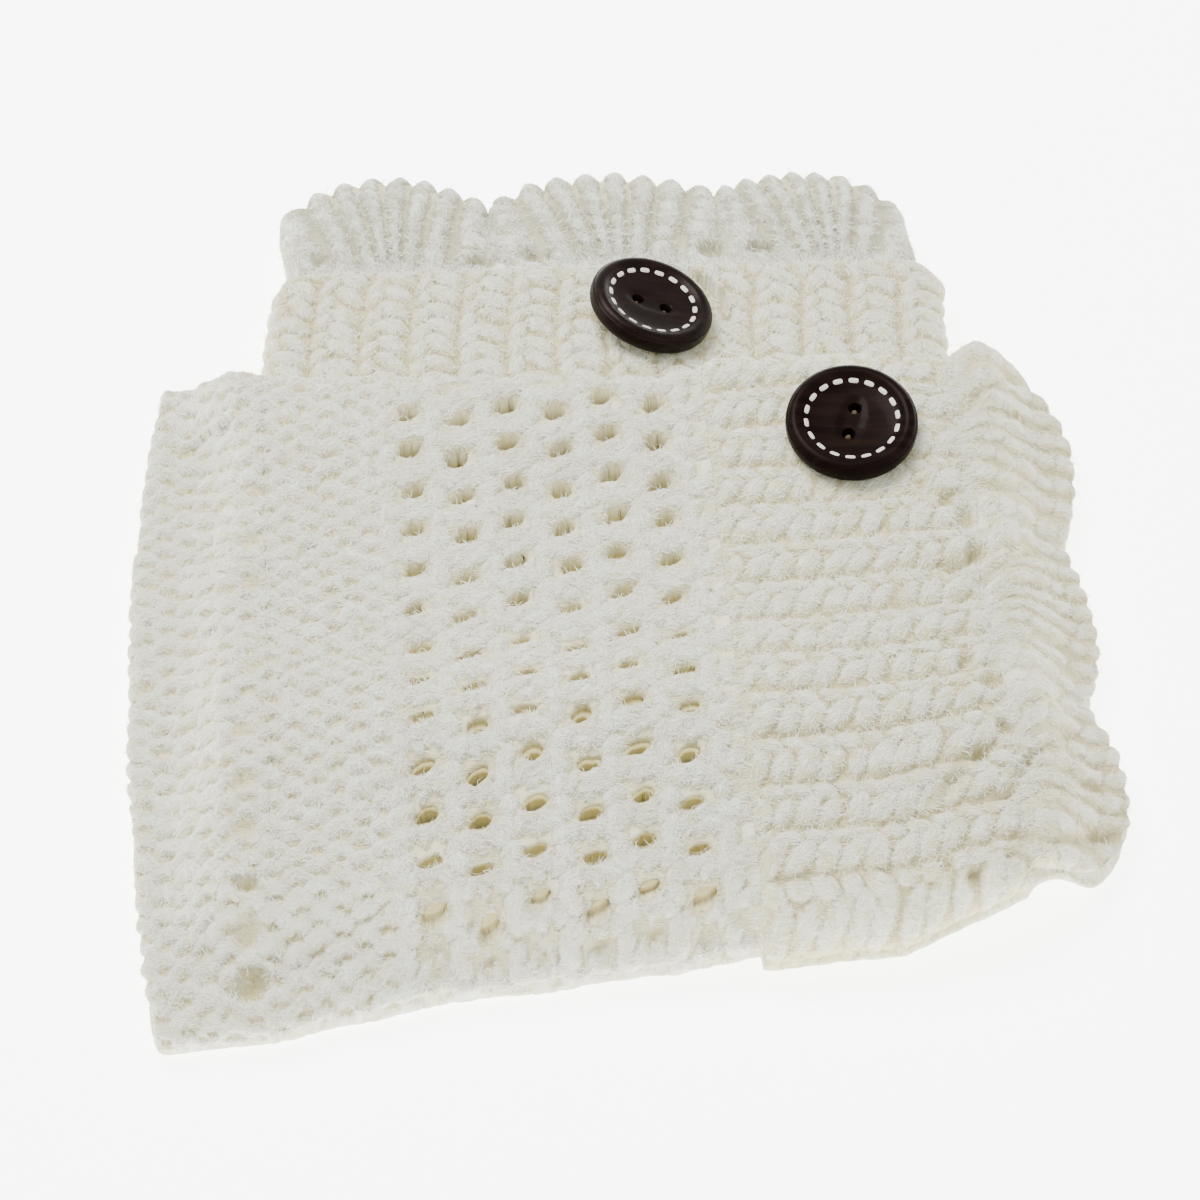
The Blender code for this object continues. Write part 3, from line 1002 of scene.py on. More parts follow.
def pole_faces(rows: int, columns: int) -> list[Array]:
    """Quads and both caps of a turned grid whose first and last rows are poles.

    Args:
        rows: Rows of the grid, poles included.
        columns: Points round it.

    Returns:
        The quads, the triangles at the first pole and those at the last.
    """
    i, j = np.meshgrid(np.arange(rows - 3), np.arange(columns), indexing="ij")
    over = (j + 1) % columns
    corners = (i * columns + j, (i + 1) * columns + j, (i + 1) * columns + over, i * columns + over)
    quads = np.stack([corner.ravel() for corner in corners], axis=1) + 1
    k = np.arange(columns)
    after = (k + 1) % columns
    last = 1 + (rows - 3) * columns
    first_cap = np.stack([0 * k, 1 + k, 1 + after], axis=1)
    last_cap = np.stack([0 * k + last + columns, last + after, last + k], axis=1)
    return [quads, first_cap, last_cap]


def knit_coords(along: Array, across: Array, ply: Array) -> dict:
    """Texture coordinates: decimetres along and across the knit, centimetres on a strand."""
    knit = np.stack([along.ravel(), across.ravel()], axis=1) / 100
    return {"knit": knit, "ply": ply.reshape(-1, 2) / 10}


def top_shares(width: float, spacing: float) -> Array:
    """Shares of the width of the upper wall, closer on its rounded folds.

    Args:
        width: Distance from fold to fold.
        spacing: Distance between points on the flat part.

    Returns:
        The shares, from the right fold to the left one.
    """
    turn = np.linspace(0.0, np.pi / 2, 3 + round(4 / spacing))
    fold = FOLD_RADIUS * (1 - np.cos(turn)) / width
    inner = np.linspace(fold[-1], 1 - fold[-1], round(width / spacing))
    return np.concatenate([fold[:-1], inner, 1 - fold[-2::-1]])


def low_shares(width: float, spacing: float) -> Array:
    """Shares of the width of the lower wall, closer on its rounded folds.

    Args:
        width: Distance from fold to fold.
        spacing: Distance between points on the flat part.

    Returns:
        The shares, from the left fold to the right one.
    """
    turn = np.linspace(0.0, np.pi / 2, 7)[1:]
    fold = UNDER_RADIUS * (1 - np.cos(turn)) / width
    inner = np.linspace(1 - fold[-1], fold[-1], round(width / spacing))
    return np.concatenate([1 - fold[:-1], inner, fold[-2::-1]])


@dataclass
class Places:
    """Where the points of a ring are: shares of its length and of its width, distances
    along and across in the plan, and distances across over the surface."""

    share: Array
    shares: Array
    along: Array
    across: Array
    spread: Array


@dataclass
class TubeSection:
    """A ring of the flattened tube, made as one closed shell: hem, band or edging."""

    cuff: Cuff
    spacing: float
    start: float
    end: float
    part: str = ""
    open_start: bool = False
    open_end: bool = False
    lip: float = 2.2  # radius of a free edge
    lip_relief: float = 0.8  # share of the relief that goes round a free edge
    low_spacing: float = 2.4
    inner_rows: int = 4
    # painted shade of the inner face
    inner_pit_shade: float = 0.75
    root_pit: float = 0.45  # pit without fuzz

    def plan(self, share: Array, shares: Array) -> tuple[Array, Array]:
        """Place of points in the leg warmer's frame: straight lines along and across.

        Args:
            share: Shares of the length.
            shares: Shares of the width.

        Returns:
            The distances along and across.
        """
        along = self.start + (self.end - self.start) * share
        right, left = self.cuff.edges(along)
        return along + 0 * shares, right + (left - right) * shares

    def lengths(self, shares: Array) -> Array:
        """Length of the section at each share of the width."""
        return np.full(shares.shape, self.end - self.start)

    def shaped(self, points: Array, share: Array, lengths: Array, upper: Array) -> Array:
        """Points of the outer face, changed where a section is thinner; as they are here."""
        return points

    def stitches(self, at: Places) -> Stitches:
        """Relief of the section's knit; moss stitch here."""
        return Moss().stitches(at.along, at.spread)

    def lines(self, length: float) -> Array:
        """Lines round the tube's wall, as rows of fixed distance, share of length, face.

        They run over the outer face from the start to the end, round the end's lip, back
        over the inner face and round the start's lip. Face is 1 on the outer face.

        Args:
            length: Length of the section.

        Returns:
            The rows.
        """
        turn = np.linspace(-np.pi / 2, np.pi / 2, 9)
        lip = np.stack([self.lip * (1 - np.cos(turn)), 0 * turn, (1 + np.sin(turn)) / 2], axis=1)
        butt = np.array([[0.0, 0.0, 0.0], [0.0, 0.0, 0.8], [0.0, 0.0, 1.0], [BUTT, 0.0, 1.0]])
        first = lip if self.open_start else butt
        last = (lip if self.open_end else butt)[::-1] * [-1, 1, 1] + [0, 1, 0]
        start, end = (self.lip if opened else BUTT for opened in (self.open_start, self.open_end))
        steps = np.linspace(0, 1, round(length / self.spacing) + 1)[1:-1]
        outer = np.stack([start - steps * (start + end), steps, 0 * steps + 1], axis=1)
        steps = np.linspace(1, 0, self.inner_rows + 2)[1:-1]
        inner = np.stack([start - steps * (start + end), steps, 0 * steps], axis=1)
        return np.concatenate([first, outer, last, inner])

    def build(self, roots: Roots | None) -> Object:
        """Make the section's shell: the lines round its wall, pushed out by the relief.

        Args:
            roots: Where to note the points that fuzz grows from, or None.

        Returns:
            The new object.
        """
        right, left = self.cuff.edges(np.array(self.start))
        width = float(left - right)
        top, low = top_shares(width, self.spacing), low_shares(width, self.low_spacing)
        shares = np.concatenate([top, low])[None, :]
        upper = np.concatenate([np.ones(len(top), bool), np.zeros(len(low), bool)])[None, :]
        lines = self.lines(self.end - self.start)
        lengths = self.lengths(shares)
        share = np.clip((lines[:, :1] + lines[:, 1:2] * lengths) / lengths, 0.0, 1.0)
        face = lines[:, 2:3]
        along, across = self.plan(share, shares)
        folds = [self.plan(share, shares * 0 + end)[1] for end in (0.0, 1.0)]
        outer = layer_points(self.cuff, along, across, *folds, upper, True)
        outer = self.shaped(outer, share, lengths, upper)
        inner = layer_points(self.cuff, along, across, *folds, upper, False)
        points = inner + (outer - inner) * face[..., None]
        normals = grid_normals(points, True)
        if (points * normals)[..., 2].sum() < 0:
            normals = -normals
        last = len(lines) - self.inner_rows
        if not self.open_start:
            normals[:3] = normals[3]
        if not self.open_end:
            normals[last - 3 : last] = normals[last - 4]
        knit = self.stitches(Places(share, shares, along, across, unrolled(outer, across)))
        fold = np.minimum(across - folds[0], folds[1] - across)
        shown = shown_share(fold, upper)
        shown = np.maximum(shown, self.lip_relief * 4 * face * (1 - face)) * ramp(face / 0.7)
        points = points + normals * (knit.height * shown)[..., None]
        crease = crease_at(fold) * ramp(face)
        points = points - normals * (CREASE_DEPTH * crease)[..., None]
        outside = (upper & (face > 0.5))[..., None]
        points = np.where(outside, meet_button(self.cuff, points), points)
        points[..., 2] = np.maximum(points[..., 2], CLEARANCE)
        # painted shade: the pits, the line along each fold, and the inner face
        pit = np.clip(knit.pit * shown + CREASE_PIT_SHADE * crease, 0.0, 1.0)
        pit = np.where(face < 0.3, self.inner_pit_shade, pit)
        if roots is not None:
            held = (shown > FUZZ_FROM) & (face > 0.4) & (knit.pit < self.root_pit)
            roots.add(points, normals, held)
        faces = outward(points.reshape(-1, 3), ring_faces(*points.shape[:2]))
        name = f"{self.cuff.name}_{self.part}_knit"
        coords = knit_coords(along, across, knit.ply)
        return new_object(name, points.reshape(-1, 3), [faces], coords, pit.ravel())


@dataclass
class Hem(TubeSection):
    """The moss stitch hem with its bowed free edge and a column of larger eyelets."""

    part: str = "hem"
    open_start: bool = True
    moss: Moss = Moss()
    swell: float = 0.35
    swell_over: tuple = (5.2, 8.5)  # along and across
    swell_fade: float = 4.0  # length over which it fades into the leg

    def plan(self, share: Array, shares: Array) -> tuple[Array, Array]:
        """Along is bowed towards the free edge by one less the square of the place across.

        Args:
            share: Shares of the length.
            shares: Shares of the width.

        Returns:
            The distances along and across.
        """
        step = self.start + (self.end - self.start) * share
        right, left = self.cuff.edges(step)
        across = right + (left - right) * shares
        bow = np.clip(1 - (across / right) ** 2, 0.0, 1.0)
        return step - HEM_BULGE * bow * (1 - step / self.end), across

    def stitches(self, at: Places) -> Stitches:
        """Moss stitch, with eyelets near the leg on the front leg warmer.

        A shallow eyelet is a bell of the distance from its middle, and a deep one has a
        flat bottom and steep sides.

        Args:
            at: Where the points are.

        Returns:
            The relief.
        """
        knit = self.moss.stitches(at.along, at.spread)
        long, wide = self.swell_over
        fade = ramp((HEM_END - at.along) / self.swell_fade)
        swell = self.swell * noise(at.along / long, at.spread / wide, 21) * fade
        knit.height = knit.height + swell
        if self.cuff is FRONT:
            for place_along, place_across, radius, depth in HEM_EYELETS:
                u, v = at.along - place_along, at.across - place_across
                away = np.hypot(u / 1.15, (v - 0.2 * u) * 1.1)
                bell = np.exp(-((away / radius) ** 3))
                hole = ramp(1.35 - away / (radius * 1.05)) if depth > DEEP_EYELET else bell
                knit.height = knit.height * (1 - hole) - depth * hole
                # painted shade in the eyelet
                knit.pit = np.maximum(knit.pit, EYELET_PIT_SHADE * hole)
        return knit


@dataclass
class Band(TubeSection):
    """The ribbed band, with a seam at its foot and gaps where it meets the fans.

    Each rib has a row of loops that stand nearly across it and a row that lie along it.
    """

    part: str = "band"
    ribbing: Ribbing = Ribbing(
        RIB_HEIGHT,
        (Loop(0.5, 0.34, 56.0, 4.0, 2.1), Loop(0.25, 0.8, -24.0, 2.7, 1.75, 0.95)),
        groove=0.16,
        stitch=4.6,
        depth=1.15,
    )
    foot_fade: tuple = (0.3, 2.4)  # how far before the end it starts, and its length
    top_fade: tuple = (0.6, 3.0)

    def stitches(self, at: Places) -> Stitches:
        """Ribs that fade into the seam at the foot and into the fans at the top.

        Args:
            at: Where the points are.

        Returns:
            The relief.
        """
        knit = self.ribbing.stitches(at.shares * RIBS, at.along, 31)
        (foot, foot_over), (top, top_over) = self.foot_fade, self.top_fade
        fade = ramp((at.along - self.start + foot) / foot_over)
        fade = fade * ramp((self.end - at.along + top) / top_over)
        seam = seam_of(at.along)
        height = knit.height * fade + lumpy(at.along, at.across) - SEAM_DEPTH * seam
        # painted shade in the ribs' pits and in the seam
        pit = np.maximum(knit.pit * fade, SEAM_PIT_SHADE * seam)
        return add_gaps(self.cuff, Stitches(height, pit, knit.ply), at.along, at.across)


@dataclass
class Edging(TubeSection):
    """The scalloped edging: three fans whose ribs spread to a round edge."""

    part: str = "edging"
    open_end: bool = True
    ribbing: Ribbing = Ribbing(
        FAN_RIB_HEIGHT,
        (Loop(0.5, 0.5, 28.0, 2.7, 1.8),),
        depth=0.6,
        pitch=5.3,
        stitch=3.7,
        groove=0.5,
        fullness=1.3,
    )
    nub: float = 0.16  # how far each rib stands past the round edge
    nub_uneven: float = 0.6
    nub_usual: float = 0.6  # height of a nub that lies on the round edge
    flare: float = 1.25  # how early the ribs turn from the foot to the way of the edge
    shade: float = 1.1  # of the pits
    rise: float = 0.3  # how much the ribs grow to the edge
    roundness: float = 0.72  # power of the edge's bow, lower where its middle is flatter
    drawn_in: float = 1.2  # of the edge, for the relief that stands past it
    notch: float = 0.8  # how much deeper the hollows between fans are
    thinned: float = 0.3  # share of the height lost at the edge
    thinned_over: float = 11.0
    foot_fade: tuple = (0.6, 6.0)  # how far before the foot the ribs start, and over what

    def fan_place(self, shares: Array) -> Array:
        """Place in fans, whole at the ends of a fan.

        Args:
            shares: Shares of the width.

        Returns:
            The place at each share, read from the table of fans.
        """
        ends = [self.cuff.fans[0][0]] + [fan[1] for fan in self.cuff.fans]
        across = ends[0] + (ends[-1] - ends[0]) * shares
        return np.interp(across, ends, np.arange(len(ends)))

    def fan_lines(self, shares: Array) -> tuple[Array, Array, Array]:
        """Foot across, edge across and edge along of the line through each share.

        The foot is spread by a mix of the place in the fan and its cube. The edge stands
        out by a power of the square of a half circle's height, plus a nub on each rib.

        Args:
            shares: Shares of the width.

        Returns:
            The three distances for each share.
        """
        fans = np.array(self.cuff.fans)
        place = self.fan_place(shares)
        fan = np.minimum(np.floor(place).astype(int), len(fans) - 1)
        part = place - fan
        fan_right, fan_left, tip, along_right, along_left = (fans[fan, k] for k in range(5))
        middle, half, side = (fan_right + fan_left) / 2, (fan_left - fan_right) / 2, 2 * part - 1
        right, left = (float(edge) for edge in self.cuff.edges(np.array(self.start)))
        stretch = (left - right) / (fans[-1, 1] - fans[0, 0])
        spread = FAN_SPREAD * side + (1 - FAN_SPREAD) * side**3
        foot = right + stretch * (middle + half * spread - fans[0, 0])
        base = along_right + (along_left - along_right) * part - self.notch
        tall = 1 + self.nub_uneven * hashed(np.floor(part * FAN_RIBS), fan, 61)
        nub = self.nub * (tall * np.abs(np.sin(np.pi * part * FAN_RIBS)) - self.nub_usual)
        bow = np.clip(1 - side * side, 0.0, 1.0) ** self.roundness
        edge = base + (tip - base) * bow + nub - self.drawn_in
        return foot, middle + half * side, edge

    def plan(self, share: Array, shares: Array) -> tuple[Array, Array]:
        """Lines from the foot to the edge: they spread by one less a power of the share left.

        Args:
            share: Shares of the length.
            shares: Shares of the width.

        Returns:
            The distances along and across.
        """
        foot, edge_across, edge_along = self.fan_lines(shares)
        along = self.start + (edge_along - self.start) * share
        return along, foot + (edge_across - foot) * (1 - (1 - share) ** self.flare)

    def lengths(self, shares: Array) -> Array:
        """Length of each line, from the foot to the edge."""
        return self.fan_lines(shares)[2] - self.start

    def shaped(self, points: Array, share: Array, lengths: Array, upper: Array) -> Array:
        """The upper wall thins towards the edge, by a smooth step over the last stretch.

        Args:
            points: Points of the outer face.
            share: Shares of the length.
            lengths: Length at each share of the width.
            upper: True where the point is on the upper wall.

        Returns:
            The points with new heights.
        """
        x, y, z = points[..., 0], points[..., 1], points[..., 2]
        under = support(self.cuff, x, y)
        thin = self.thinned * ramp(1 - (1 - share) * lengths / self.thinned_over)
        return np.stack([x, y, np.where(upper, under + (z - under) * (1 - thin), z)], axis=-1)

    def stitches(self, at: Places) -> Stitches:
        """Ribs that grow from nothing at the foot, and gaps at the foot.

        Args:
            at: Where the points are.

        Returns:
            The relief.
        """
        place = self.fan_place(at.shares)
        knit = self.ribbing.stitches(place * FAN_RIBS, at.along, 41)
        foot, foot_over = self.foot_fade
        grow = ramp((at.along - self.start + foot) / foot_over)
        side = 2 * (place - np.floor(place)) - 1
        height = knit.height * grow * (1 + self.rise * at.share) + lumpy(at.along, at.across)
        # painted shade in the fans' pits, stronger towards the edge and weaker at each fan's sides
        pit = self.shade * knit.pit * grow * (0.75 + 0.35 * at.share) * (1 - 0.6 * side**4)
        return add_gaps(self.cuff, Stitches(height, pit, knit.ply), at.along, at.across)


@dataclass
class SoftEdging(Edging):
    """The front edging, whose ribs are low and fade into each other."""

    ribbing: Ribbing = Ribbing(
        0.45,
        (Loop(0.5, 0.5, 24.0, 2.5, 1.9),),
        depth=0.75,
        pitch=5.3,
        stitch=3.9,
        groove=0.45,
        fullness=1.7,
    )
    nub: float = 0.1
    flare: float = 2.2
    shade: float = 0.9
    rise: float = 0.0
    drawn_in: float = 0.5
    notch: float = 1.0


def add_gaps(cuff: Cuff, knit: Stitches, along: Array, across: Array) -> Stitches:
    """Relief with the gaps at the foot of the fans sunk into it, each a flat-topped bell.

    Args:
        cuff: The leg warmer.
        knit: The relief, which is changed.
        along: Distances along.
        across: Distances across.

    Returns:
        The relief, on the front leg warmer with its grooves too.
    """
    gaps = FRONT_GAPS if cuff is FRONT else BACK_GAPS
    for mid_along, mid_across, half_along, half_across, lean in gaps:
        u = (along - mid_along) / half_along
        v = (across - mid_across - lean * (along - mid_along)) / half_across
        hole = np.exp(-(np.hypot(u, v) ** 4) * FAN_GAP_STEEP)
        knit.height = knit.height * (1 - FAN_GAP_FLAT * hole) - FAN_GAP_DEPTH * hole
        # painted shade in the gap
        knit.pit = np.maximum(knit.pit, FAN_GAP_PIT_SHADE * hole)
    return add_grooves(knit, along, across) if cuff is FRONT else knit


def add_grooves(knit: Stitches, along: Array, across: Array) -> Stitches:
    """Relief with the front's grooves sunk into it, each a bell of the distance to its line.

    Args:
        knit: The relief, which is changed.
        along: Distances along.
        across: Distances across.

    Returns:
        The relief.
    """
    for start_along, start_across, end_along, end_across, reach, depth in FRONT_GROOVES:
        u, v = end_along - start_along, end_across - start_across
        part = ((along - start_along) * u + (across - start_across) * v) / (u * u + v * v)
        part = np.clip(part, 0.0, 1.0)
        away = np.hypot(along - start_along - part * u, across - start_across - part * v)
        sunk = np.exp(-((away / reach) ** 2))
        knit.height = knit.height - depth * sunk
        # painted shade in the groove
        knit.pit = np.maximum(knit.pit, min(GROOVE_PIT_SHADE_MOST, GROOVE_PIT_SHADE * depth) * sunk)
    return knit


@dataclass
class LegWall:
    """The upper or the lower wall of the leg, a closed shell open at its eyelets."""

    cuff: Cuff
    side: Side
    spacing: float
    eyelets: bool = True
    first_row: int = 0
    openwork: Openwork = Openwork()
    moss: Moss = Moss()
    tuck: float = 4.6  # how far the upper wall is wrapped round under its folds
    clear: float = 0.1  # between it and the lower wall
    lace_start: float = 40.5  # where the openwork starts, along
    lace_over: float = 5.0
    seam_over: float = 2.5  # length over which the stitches fade into the seam
    root_pit: float = 0.35  # pit without fuzz

    def columns(self, width: float) -> tuple[Array, Array]:
        """Shares of the width, and whether each column is on the upper side.

        Args:
            width: Distance from fold to fold.

        Returns:
            The shares, which on the upper wall run round under both folds, and the flags.
        """
        if self.side is Side.LOWER:
            inset = (self.tuck + self.clear) / width
            shares = np.linspace(inset, 1 - inset, round(width / self.spacing))
            return shares, np.zeros(len(shares), bool)
        top = top_shares(width, self.spacing)
        turn = np.linspace(0.0, np.pi / 2, 6)[1:]
        under = np.append(UNDER_RADIUS * (1 - np.cos(turn)), self.tuck) / width
        shares = np.concatenate([under[::-1], top, 1 - under])
        upper = np.ones(len(shares), bool)
        upper[: len(under)] = upper[-len(under) :] = False
        return shares, upper

    def open_cells(self, along: Array, across: Array, upper: Array) -> Array:
        """Whether the middle of each cell is inside an eyelet.

        Args:
            along: Distances along.
            across: Distances across.
            upper: True where a column is on the upper side.

        Returns:
            True at each cell that is left open.
        """
        u = (along[:-1, :-1] + along[1:, 1:]) / 2
        v = (across[:-1, :-1] + across[1:, 1:]) / 2
        opened = self.openwork.distance(u, v, self.first_row) < 1
        if self.side is Side.UPPER:
            opened &= upper[:-1] & upper[1:]
        return opened if self.eyelets else np.zeros_like(opened)

    def snap(self, along: Array, across: Array, opened: Array) -> tuple[Array, Array]:
        """Points on the rim of an opening, moved out or in to the eyelet's uneven oval.

        Args:
            along: Distances along.
            across: Distances across.
            opened: True at each cell that is left open.

        Returns:
            The new distances along and across.
        """
        framed = np.pad(opened, 1)
        rows, columns = along.shape
        around = [framed[i : i + rows, j : j + columns] for i in (0, 1) for j in (0, 1)]
        rim = np.any(around, axis=0) & ~np.all(around, axis=0)
        middle, centre, half = self.openwork.nearest(along, across, self.first_row)
        u = along - middle
        v = across - centre - EYELET_LEAN * u
        share = np.maximum(np.hypot(u / EYELET_HALF_ALONG, v / half), 1e-6)
        scale = np.where(rim, self.openwork.wobble(along, across) / share, 1.0)
        return middle + u * scale, centre + v * scale + EYELET_LEAN * u * scale

    def build(self, roots: Roots | None) -> Object:
        """Make the wall: two grids, joined round its border and round each eyelet.

        The relief goes from moss stitch to openwork by a smooth step along, and fades into
        the seam.

        Args:
            roots: Where to note the points that fuzz grows from, or None.

        Returns:
            The new object.
        """
        steps = np.linspace(HEM_END + JOIN, LEG_END - JOIN, round((LEG_END - HEM_END) / self.spacing))
        ends = np.array([steps[0] + BUTT, steps[-1] - BUTT])
        steps = np.concatenate([steps[:1], ends[:1], steps[1:-1], ends[1:], steps[-1:]])
        right, left = self.cuff.edges(steps[:, None])
        shares, upper = self.columns(float(left[0, 0] - right[0, 0]))
        along = steps[:, None] + 0 * shares
        across = right + (left - right) * shares
        opened = self.open_cells(along, across, upper)
        plain = layer_points(self.cuff, along, across, right, left, upper, True)
        normals = grid_normals(plain, False)  # before the rims are snapped, so that they stay even
        along, across = self.snap(along, across, opened)
        outer = layer_points(self.cuff, along, across, right, left, upper, True)
        inner = layer_points(self.cuff, along, across, right, left, upper, False)
        if (normals[:, len(shares) // 2, 2].mean() < 0) == (self.side is Side.UPPER):
            normals = -normals
        spread = unrolled(outer, across)
        moss = self.moss.stitches(along, spread)
        lace = self.openwork.stitches(along, across, spread, across - right, self.first_row)
        part = ramp((along - self.lace_start) / self.lace_over) * self.eyelets
        height = moss.height * (1 - part) + lace.height * part
        base, seam = lumpy(along, across), seam_of(along)
        fade = ramp((LEG_END - along) / self.seam_over)
        height = base + (height - base) * fade - SEAM_DEPTH * seam
        # painted shade of the moss stitch and the openwork, and in the seam
        pit = moss.pit * (1 - part) + lace.pit * part
        pit = np.maximum(pit * fade, SEAM_PIT_SHADE * seam)
        ply = np.where(part[..., None] > 0.5, lace.ply, moss.ply)
        fold = np.minimum(across - right, left - across)
        if self.side is Side.UPPER:
            shown, crease = shown_share(fold, upper), crease_at(fold)
        else:
            shown, crease = np.zeros(along.shape), np.zeros(along.shape)
        outer = outer + normals * (height * shown - CREASE_DEPTH * crease)[..., None]
        outer[..., 2] = np.maximum(outer[..., 2], CLEARANCE)
        if self.side is Side.UPPER:
            outer = np.where(upper[:, None], meet_button(self.cuff, outer), outer)
            if roots is not None:
                roots.add(outer, normals, (shown > FUZZ_FROM) & (pit < self.root_pit))
        faces = self.faces(opened)
        points = np.concatenate([outer.reshape(-1, 3), inner.reshape(-1, 3)])
        # painted shade: the outer face's pits and folds; the inner face takes the full pit, with its
        # painted glow
        outer_pit_shade = np.clip(pit * shown + CREASE_DEPTH * CREASE_PIT_SHADE * crease, 0, 1)
        pits = np.concatenate([outer_pit_shade.ravel(), np.full(along.size, 1.0)])
        used, packed = np.unique(faces, return_inverse=True)
        faces = outward(points[used], packed.reshape(faces.shape))
        coords = knit_coords(along, across, ply)
        coords = {key: np.tile(values, (2, 1))[used] for key, values in coords.items()}
        name = f"{self.cuff.name}_leg_{self.side.value}_knit"
        return new_object(name, points[used], [faces], coords, pits[used])

    @staticmethod
    def faces(opened: Array) -> Array:
        """Quads of both grids and of the strips that join them round every opening.

        Args:
            opened: True at each cell that is left open.

        Returns:
            The corners of each quad; the inner grid's points follow the outer one's.
        """
        rows, columns = opened.shape[0] + 1, opened.shape[1] + 1
        solid = np.pad(~opened, 1)
        i, j = np.nonzero(~opened)
        a = i * columns + j
        b = a + columns
        below = rows * columns
        outer = np.stack([a, b, b + 1, a + 1], axis=1)
        inner = np.stack([a, a + 1, b + 1, b], axis=1) + below
        quads = [outer, inner]
        sides = (
            (a + 1, a, solid[i, j + 1]),
            (b, b + 1, solid[i + 2, j + 1]),
            (a, b, solid[i + 1, j]),
            (b + 1, a + 1, solid[i + 1, j + 2]),
        )
        for start, end, neighbour in sides:
            s, e = start[~neighbour], end[~neighbour]
            quads.append(np.stack([e, s, s + below, e + below], axis=1))
        return np.concatenate(quads)


@dataclass
class Fuzz:
    """Loose fibres that stand out of the yarn, each a thin bent ribbon."""

    name: str
    count: int
    seed: int
    length: tuple[float, float] = (0.9, 2.4)
    rise: tuple[float, float] = (0.05, 0.55)  # of its first half, in shares of its lean
    aside: float = 0.3  # most by which a root is moved
    sunk: float = 0.1  # of a root below the knit
    bend: float = 0.8  # usual bend to the side at the middle
    droop: float = 0.35  # of the second half
    width: float = 0.1
    clearance: float = 0.05  # of the lowest points above the floor

    def build(self, roots: Roots) -> Object:
        """Make the fibres.

        Each starts at a random root, leans from the normal to a random side, and bends
        further at its middle. It is a ribbon whose second half tapers to a point.

        Args:
            roots: Points and normals of the knit.

        Returns:
            The new object.
        """
        points, normals = np.concatenate(roots.points), np.concatenate(roots.normals)
        dice = np.random.default_rng(self.seed)
        pick = dice.integers(0, len(points), self.count)
        base, normal = points[pick], normals[pick]
        lean = np.cross(normal, dice.normal(size=base.shape))
        lean /= np.maximum(np.linalg.norm(lean, axis=1, keepdims=True), 1e-6)
        other = np.cross(normal, lean) * dice.normal(0, self.bend, (self.count, 1))
        length = dice.uniform(*self.length, (self.count, 1))
        rise = dice.uniform(*self.rise, (self.count, 1))
        base = base + lean * dice.uniform(-self.aside, self.aside, (self.count, 1))
        base = base - normal * self.sunk
        middle = base + length / 2 * (lean + normal * rise)
        tip = middle + length / 2 * (0.8 * lean + other + normal * (rise - self.droop))
        across = np.cross(lean, normal) * self.width / 2
        made = np.stack([base - across, base + across, middle - across, middle + across, tip], axis=1)
        made[..., 2] = np.maximum(made[..., 2], self.clearance)
        first = 5 * np.arange(self.count)[:, None]
        quads, tips = first + np.array([[0, 1, 3, 2]]), first + np.array([[2, 3, 4]])
        return new_object(self.name, made.reshape(-1, 3), [quads, tips])


